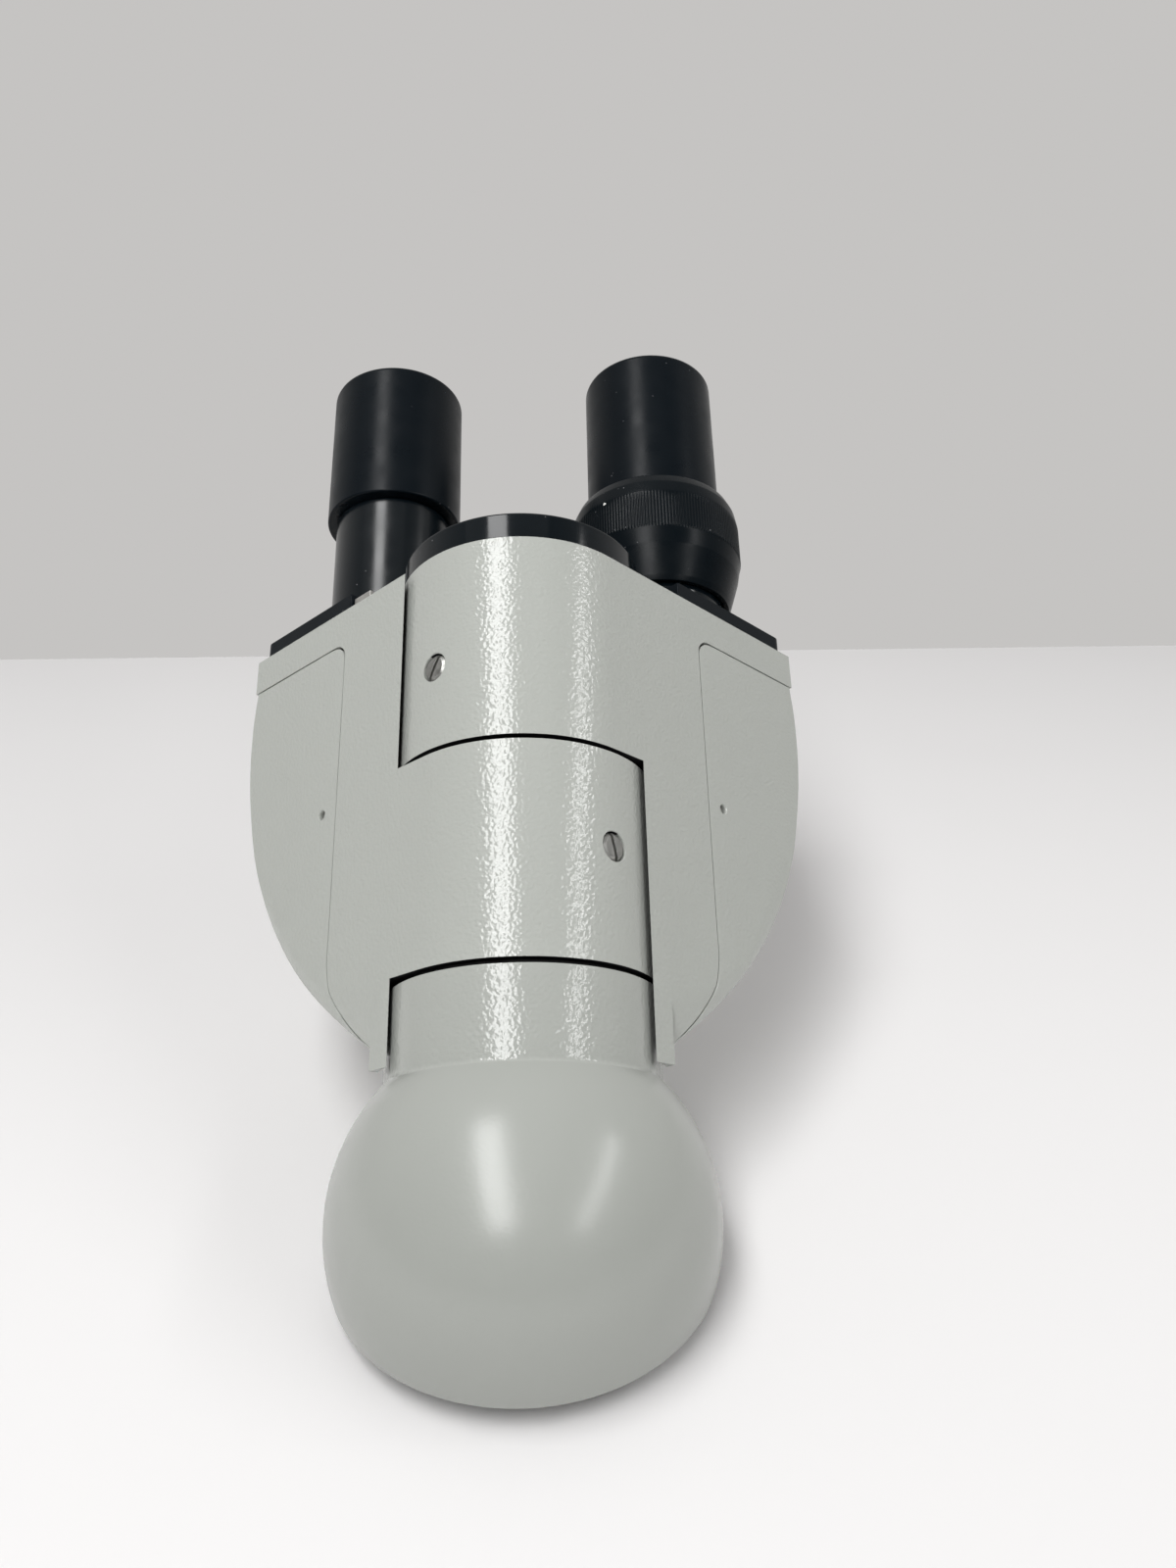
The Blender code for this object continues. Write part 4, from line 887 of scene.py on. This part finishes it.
def knurled_ring():
    """The diopter ring, its band cut with fine upright teeth."""
    teeth, per_tooth, depth = 172, 4, 0.15 * MM
    segments = teeth * per_tooth
    inner, neck, lip, top = TUBE_RADIUS + 1.9 * MM, TUBE_RADIUS + TUBE_GAP, 34.0 * MM, TUBE_TOP[RIGHT]
    band_low, band_high, fading, foot = 22.8 * MM, 30.4 * MM, 1.5 * MM, DIOPTER_FOOT
    outline = [(neck, top, 0.1 * MM), (16.3 * MM, top, 0.3 * MM), (18.1 * MM, 37.0 * MM, 1.5 * MM)]
    outline += [(19.2 * MM, 34.6 * MM, 2.0 * MM), (KNURL_RADIUS, 31.6 * MM, 1.5 * MM)]
    outline += [(KNURL_RADIUS, band_low, 0.25 * MM), (KNURL_RADIUS - 0.2 * MM, 22.3 * MM, 0.3 * MM)]
    outline += mm((18.8, 18.6, 3), (16.7, 11.6, 0.6)) + [(16.2 * MM, foot, 0.2 * MM)]
    outline += [(inner, foot, 0.2 * MM), (inner, lip), (neck, lip)]
    profile = rounded(outline, 0.1 * MM)
    dense = []
    for a, b in zip(profile, profile[1:] + profile[:1]):
        steps = max(1, round(math.dist(a, b) / (0.9 * MM)))
        dense += [(a[0] + (b[0] - a[0]) * k / steps, a[1] + (b[1] - a[1]) * k / steps) for k in range(steps)]
    bm = bmesh.new()
    rings = []
    for radius, height in dense:
        on_band = radius > 18.9 * MM and band_low - 0.05 * MM <= height <= band_high + fading
        fade = min(1.0, max(0.0, (band_high + fading - height) / fading)) if on_band else 0.0
        ring = []
        for i in range(segments):
            phase = (i % per_tooth) / per_tooth
            cut = depth * fade * (0.5 + 0.5 * math.cos(2 * math.pi * phase))
            a = 2 * math.pi * i / segments
            ring.append(bm.verts.new(((radius - cut) * math.cos(a), (radius - cut) * math.sin(a), height)))
        rings.append(ring)
    for lower, upper in zip(rings, rings[1:] + rings[:1]):
        skin(bm, lower, upper)
    bmesh.ops.recalc_face_normals(bm, faces=bm.faces)
    return place("knurled_ring", bm, TUBE[RIGHT])


def make_diopter():
    """The diopter ring with its index dot, and the tube that slides inside it."""
    done(knurled_ring(), "diopter_ring", RING_BLACK, "black_metal", "diopter_ring", sharp=50)
    turn = math.radians(-39) - WING_SWEEP
    spot = TUBE[RIGHT] @ Matrix.Rotation(turn - math.pi / 2, 4, "Z")
    spot = spot @ Matrix.Translation((KNURL_RADIUS - 0.12 * MM, 0, 31.2 * MM))
    spot = spot @ Matrix.Rotation(math.radians(80), 4, "Y")
    outline = mm((0, 0.16), (0.3, 0.13), (0.48, 0.02), (0.5, -0.5), (0, -0.5))
    done(lathe("ring_dot", outline, spot, 24), "diopter_ring", MARKING, "black_metal")
    foot, top = DIOPTER_FOOT + 1.6 * MM, TUBE_TOP[RIGHT]
    outline = [(TUBE_RADIUS, top, 0.4 * MM), (TUBE_RADIUS, foot)]
    outline += [(TUBE_BORE, foot), (TUBE_BORE, top, 0.3 * MM)]
    sleeve = lathe("right_sleeve", rounded(outline, 0.2 * MM), TUBE[RIGHT])
    done(sleeve, "focus_sleeve", GLOSS_BLACK, "black_metal", "right_eye_tube")


def make_eyepiece(side):
    """An eyepiece: barrel, chrome sleeve, two lenses and the ring that holds the upper one."""
    label, body, matrix = LABEL[side], f"{LABEL[side]}_eyepiece", TUBE[side]
    foot = TUBE_TOP[side] + 0.3 * MM
    top = foot + EYEPIECE_LENGTH
    seat, shoulder, overlap = top - 7.6 * MM, foot + 10 * MM, foot + 9.7 * MM
    hole, well, socket = 9.6 * MM, 11.0 * MM, SLEEVE_RADIUS + 0.3 * MM
    outline = [(11.6 * MM, top, 0.5 * MM), (EYEPIECE_RADIUS - 0.1 * MM, top, 1.1 * MM)]
    outline += [(EYEPIECE_RADIUS, foot + 5 * MM, 0), (EYEPIECE_RADIUS, foot, 0.55 * MM)]
    outline += [(socket, foot, 0.3 * MM), (socket, shoulder), (hole, shoulder), (hole, seat), (well, seat)]
    outline += [(well, top - 0.6 * MM, 0.3 * MM)]
    barrel = lathe(f"{label}_barrel", rounded(outline, 0.15 * MM, 5), matrix)
    done(barrel, body, SATIN_BLACK, "black_plastic", f"{label}_eyepiece_barrel")
    low, ledge, bore = foot - 25 * MM, foot - 25 * MM + 1.2 * MM, 10.5 * MM
    outline = [(SLEEVE_RADIUS, overlap), (SLEEVE_RADIUS, low, 0.4 * MM), (9.4 * MM, low, 0.3 * MM)]
    outline += [(9.4 * MM, ledge), (bore, ledge), (bore, overlap)]
    sleeve = lathe(f"{label}_chrome_sleeve", rounded(outline, 0.12 * MM), matrix, 128)
    done(sleeve, body, STEEL, "steel", f"{label}_eyepiece_sleeve")
    for place_name, node_name, radius, height, bulge in (
        ("lower", "field_lens", 10.2 * MM, low + 1.5 * MM, 1.6 * MM),
        ("upper", "eye_lens", 10.7 * MM, seat + 0.3 * MM, 2.2 * MM),
    ):
        name = f"{label}_{place_name}_lens"
        make_lens(name, radius, height, 1.6 * MM, bulge, matrix, body, f"{label}_{node_name}")
    ring_low, ring_high = seat + 4.6 * MM, top - 1.0 * MM
    retainer = [(10.7 * MM, ring_high, 0.2 * MM), (10.7 * MM, ring_low), (9.2 * MM, ring_low, 0.2 * MM)]
    retainer += [(9.6 * MM, ring_high, 0.3 * MM)]
    ring = lathe(f"{label}_retaining_ring", rounded(retainer, 0.1 * MM), matrix, 128)
    for turn in (0, math.pi):
        notch = Matrix.Rotation(turn + 0.7, 4, "Z") @ Matrix.Translation((10.2 * MM, 0, 0))
        cutter = prism("cut_notch", bar(2.4 * MM, 1.2 * MM), ring_high - 0.8 * MM, top, matrix @ notch)
        boolean(ring, "DIFFERENCE", cutter)
    done(ring, body, INNER_BLACK_AND_GAP_SHADE, "black_metal", f"{label}_lens_ring")


def scale_angle(spacing):
    """Where the mark for this eye distance stands on the disc, so that it meets the left wing's index."""
    swing = math.hypot(TUBE_OFFSET, TUBE_FORWARD)
    rest = math.asin(TUBE[RIGHT].translation.x / swing)
    return -math.pi / 2 - INDEX_ANGLE - 2 * (math.asin(spacing * MM / 2 / swing) - rest)


def scale_marks(top):
    """The marks, one for each millimetre, with a longer one at each figure."""
    bm = bmesh.new()
    for spacing in EYE_DISTANCES:
        a = scale_angle(spacing)
        inner, outer, half = (20.6 if spacing % 5 == 0 else 22.0) * MM, 23.6 * MM, 0.11 * MM
        across, out = Vector((-math.sin(a), math.cos(a), 0)), Vector((math.cos(a), math.sin(a), 0))
        corners = [out * inner - across * half, out * outer - across * half]
        corners += [out * outer + across * half, out * inner + across * half]
        low = [bm.verts.new(c + Vector((0, 0, DISC_TOP - 0.05 * MM))) for c in corners]
        high = [bm.verts.new(c + Vector((0, 0, DISC_TOP + 0.04 * MM))) for c in corners]
        bm.faces.new(high)
        bm.faces.new(low)
        skin(bm, low, high)
    bmesh.ops.recalc_face_normals(bm, faces=bm.faces)
    return place("scale_marks", bm, top)


def scale_figure(spacing, top):
    """A number on the scale, as a mesh."""
    text = bpy.data.curves.new(f"scale_number_{spacing}", "FONT")
    text.body = str(spacing)
    text.size = 3.0 * MM
    text.align_x = text.align_y = "CENTER"
    text.extrude = 0.04 * MM
    here = Matrix.Rotation(scale_angle(spacing), 4, "Z") @ Matrix.Translation((18.9 * MM, 0, DISC_TOP))
    holder = linked(text.name, text, top @ here @ Matrix.Rotation(math.pi / 2, 4, "Z"))
    bpy.context.view_layer.update()
    graph = bpy.context.evaluated_depsgraph_get()
    mesh = bpy.data.meshes.new_from_object(holder.evaluated_get(graph))
    figure = linked(f"scale_figure_{spacing}", mesh, holder.matrix_world.copy())
    bpy.data.objects.remove(holder)
    return figure


def make_scale_disc():
    """The disc on the hinge, with the scale for the distance between the eyepieces."""
    top = HINGE @ Matrix.Translation((0, 0, HINGE_TOP))
    sunk, spigot, foot = DISC_TOP - 0.4 * MM, 21.2 * MM, -4 * MM
    outline = [(0, sunk), (17.0 * MM, sunk, 0.2 * MM), (17.5 * MM, DISC_TOP, 0.2 * MM)]
    outline += [(DISC_RADIUS, DISC_TOP, 0.6 * MM), (DISC_RADIUS, 0.3 * MM, 0.2 * MM)]
    outline += [(spigot, 0.3 * MM), (spigot, foot), (0, foot)]
    disc = lathe("scale_disc", rounded(outline, 0.1 * MM), top, 192)
    done(disc, "right_wing", GLOSS_BLACK, "black_metal", "ipd_scale_disc")
    done(scale_marks(top), "right_wing", MARKING, "black_metal")
    for spacing in EYE_DISTANCES[::5]:
        done(scale_figure(spacing, top), "right_wing", MARKING, "black_metal")


# -------------------- carried-over solids


def finish_solids():
    """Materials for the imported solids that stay, by their slot in the record."""
    looks = {
        "black_metal": INNER_BLACK_AND_GAP_SHADE, "dark_metal": DARK_STEEL, "steel": STEEL, "brass": BRASS,
        "rubber": RUBBER, "glass": PRISM_GLASS, "grey_paint": PAINT, "grey_paint_dome": DOME_PAINT,
        "black_plastic": SATIN_BLACK,
    }
    slots = {part["node"]: part["material_slot"] for part in frame["record"]["subparts"]}
    for name, obj in frame["nodes"].items():
        # The washers get painted shadow black instead of the material of their slot.
        material = SHADOW_BLACK if "washer" in name else looks[slots[name]]
        if not obj.data.materials:
            obj.data.materials.append(material)
        for slot in obj.material_slots:
            slot.material = material


# -------------------- studio


def make_studio():
    """A plain floor, and a sky that is dark on the dome's side and pale beyond the tubes."""
    floor = bmesh.new()
    bmesh.ops.create_grid(floor, x_segments=40, y_segments=40, size=1.0)
    for vertex in floor.verts:
        vertex.co.x *= FLOOR_WIDTH / 2
        vertex.co.y = FLOOR_FRONT + (vertex.co.y + 1) * (FLOOR_BACK - FLOOR_FRONT) / 2
    ground = place("floor", floor, UPRIGHT)
    cloth = look("pale_floor", (0.82, 0.81, 0.81), 0.75)
    relief(cloth, ((grain(cloth, 120 * MM, 2), 2 * MM),))
    ground.data.materials.append(cloth)

    world = bpy.context.scene.world or bpy.data.worlds.new("Studio")
    bpy.context.scene.world = world
    world.use_nodes = True
    tree = world.node_tree
    tree.nodes.clear()
    direction, axes, ramp, tone, sky, output = (
        tree.nodes.new("ShaderNode" + kind)
        for kind in ("TexCoord", "SeparateXYZ", "MapRange", "Mix", "Background", "OutputWorld")
    )
    tone.data_type = "RGBA"
    ramp.inputs["From Min"].default_value, ramp.inputs["From Max"].default_value = -0.3, 0.6
    tone.inputs[6].default_value, tone.inputs[7].default_value = ROOM, BACKDROP
    for start, end in (
        (direction.outputs["Generated"], axes.inputs["Vector"]), (axes.outputs["Y"], ramp.inputs["Value"]),
        (ramp.outputs["Result"], tone.inputs[0]), (tone.outputs[2], sky.inputs["Color"]),
        (sky.outputs["Background"], output.inputs["Surface"]),
    ):
        tree.links.new(start, end)


def area_light(name, place_at, aim, size, power):
    """A lamp that points at aim, its second size lying along the head's lean."""
    lamp = bpy.data.lights.new(name, "AREA")
    lamp.shape = "RECTANGLE"
    lamp.size, lamp.size_y = size
    lamp.energy = power
    back = (Vector(place_at) - Vector(aim)).normalized()
    along = (Vector((0, 1, 0)) - back * back.y).normalized()
    axes = Matrix((along.cross(back), along, back)).transposed().to_4x4()
    linked(name, lamp, Matrix.Translation(place_at) @ axes)


def make_camera():
    """The camera stands behind the head, above the dome, and looks a little down at the hinge."""
    settings = bpy.data.cameras.new("view")
    settings.sensor_fit = "VERTICAL"
    settings.sensor_height = SENSOR
    settings.lens = LENS
    settings.clip_start = 0.01
    turn = Matrix.Rotation(CAMERA_TILT.length, 4, CAMERA_TILT.normalized())
    upright = Matrix.Rotation(math.radians(90) - HINGE_LEAN, 4, "X")
    where = Matrix.Translation(CAMERA_PLACE) @ upright @ turn
    bpy.context.scene.camera = linked("view", settings, where)


make_dome()
make_underside()
make_wings()
make_index()
make_left_tube()
make_right_guide()
make_diopter()
make_eyepiece(LEFT)
make_eyepiece(RIGHT)
make_scale_disc()
finish_solids()
make_studio()
for lamp in LAMPS:
    area_light(*lamp)
bpy.context.scene.view_settings.view_transform = "Standard"
make_camera()
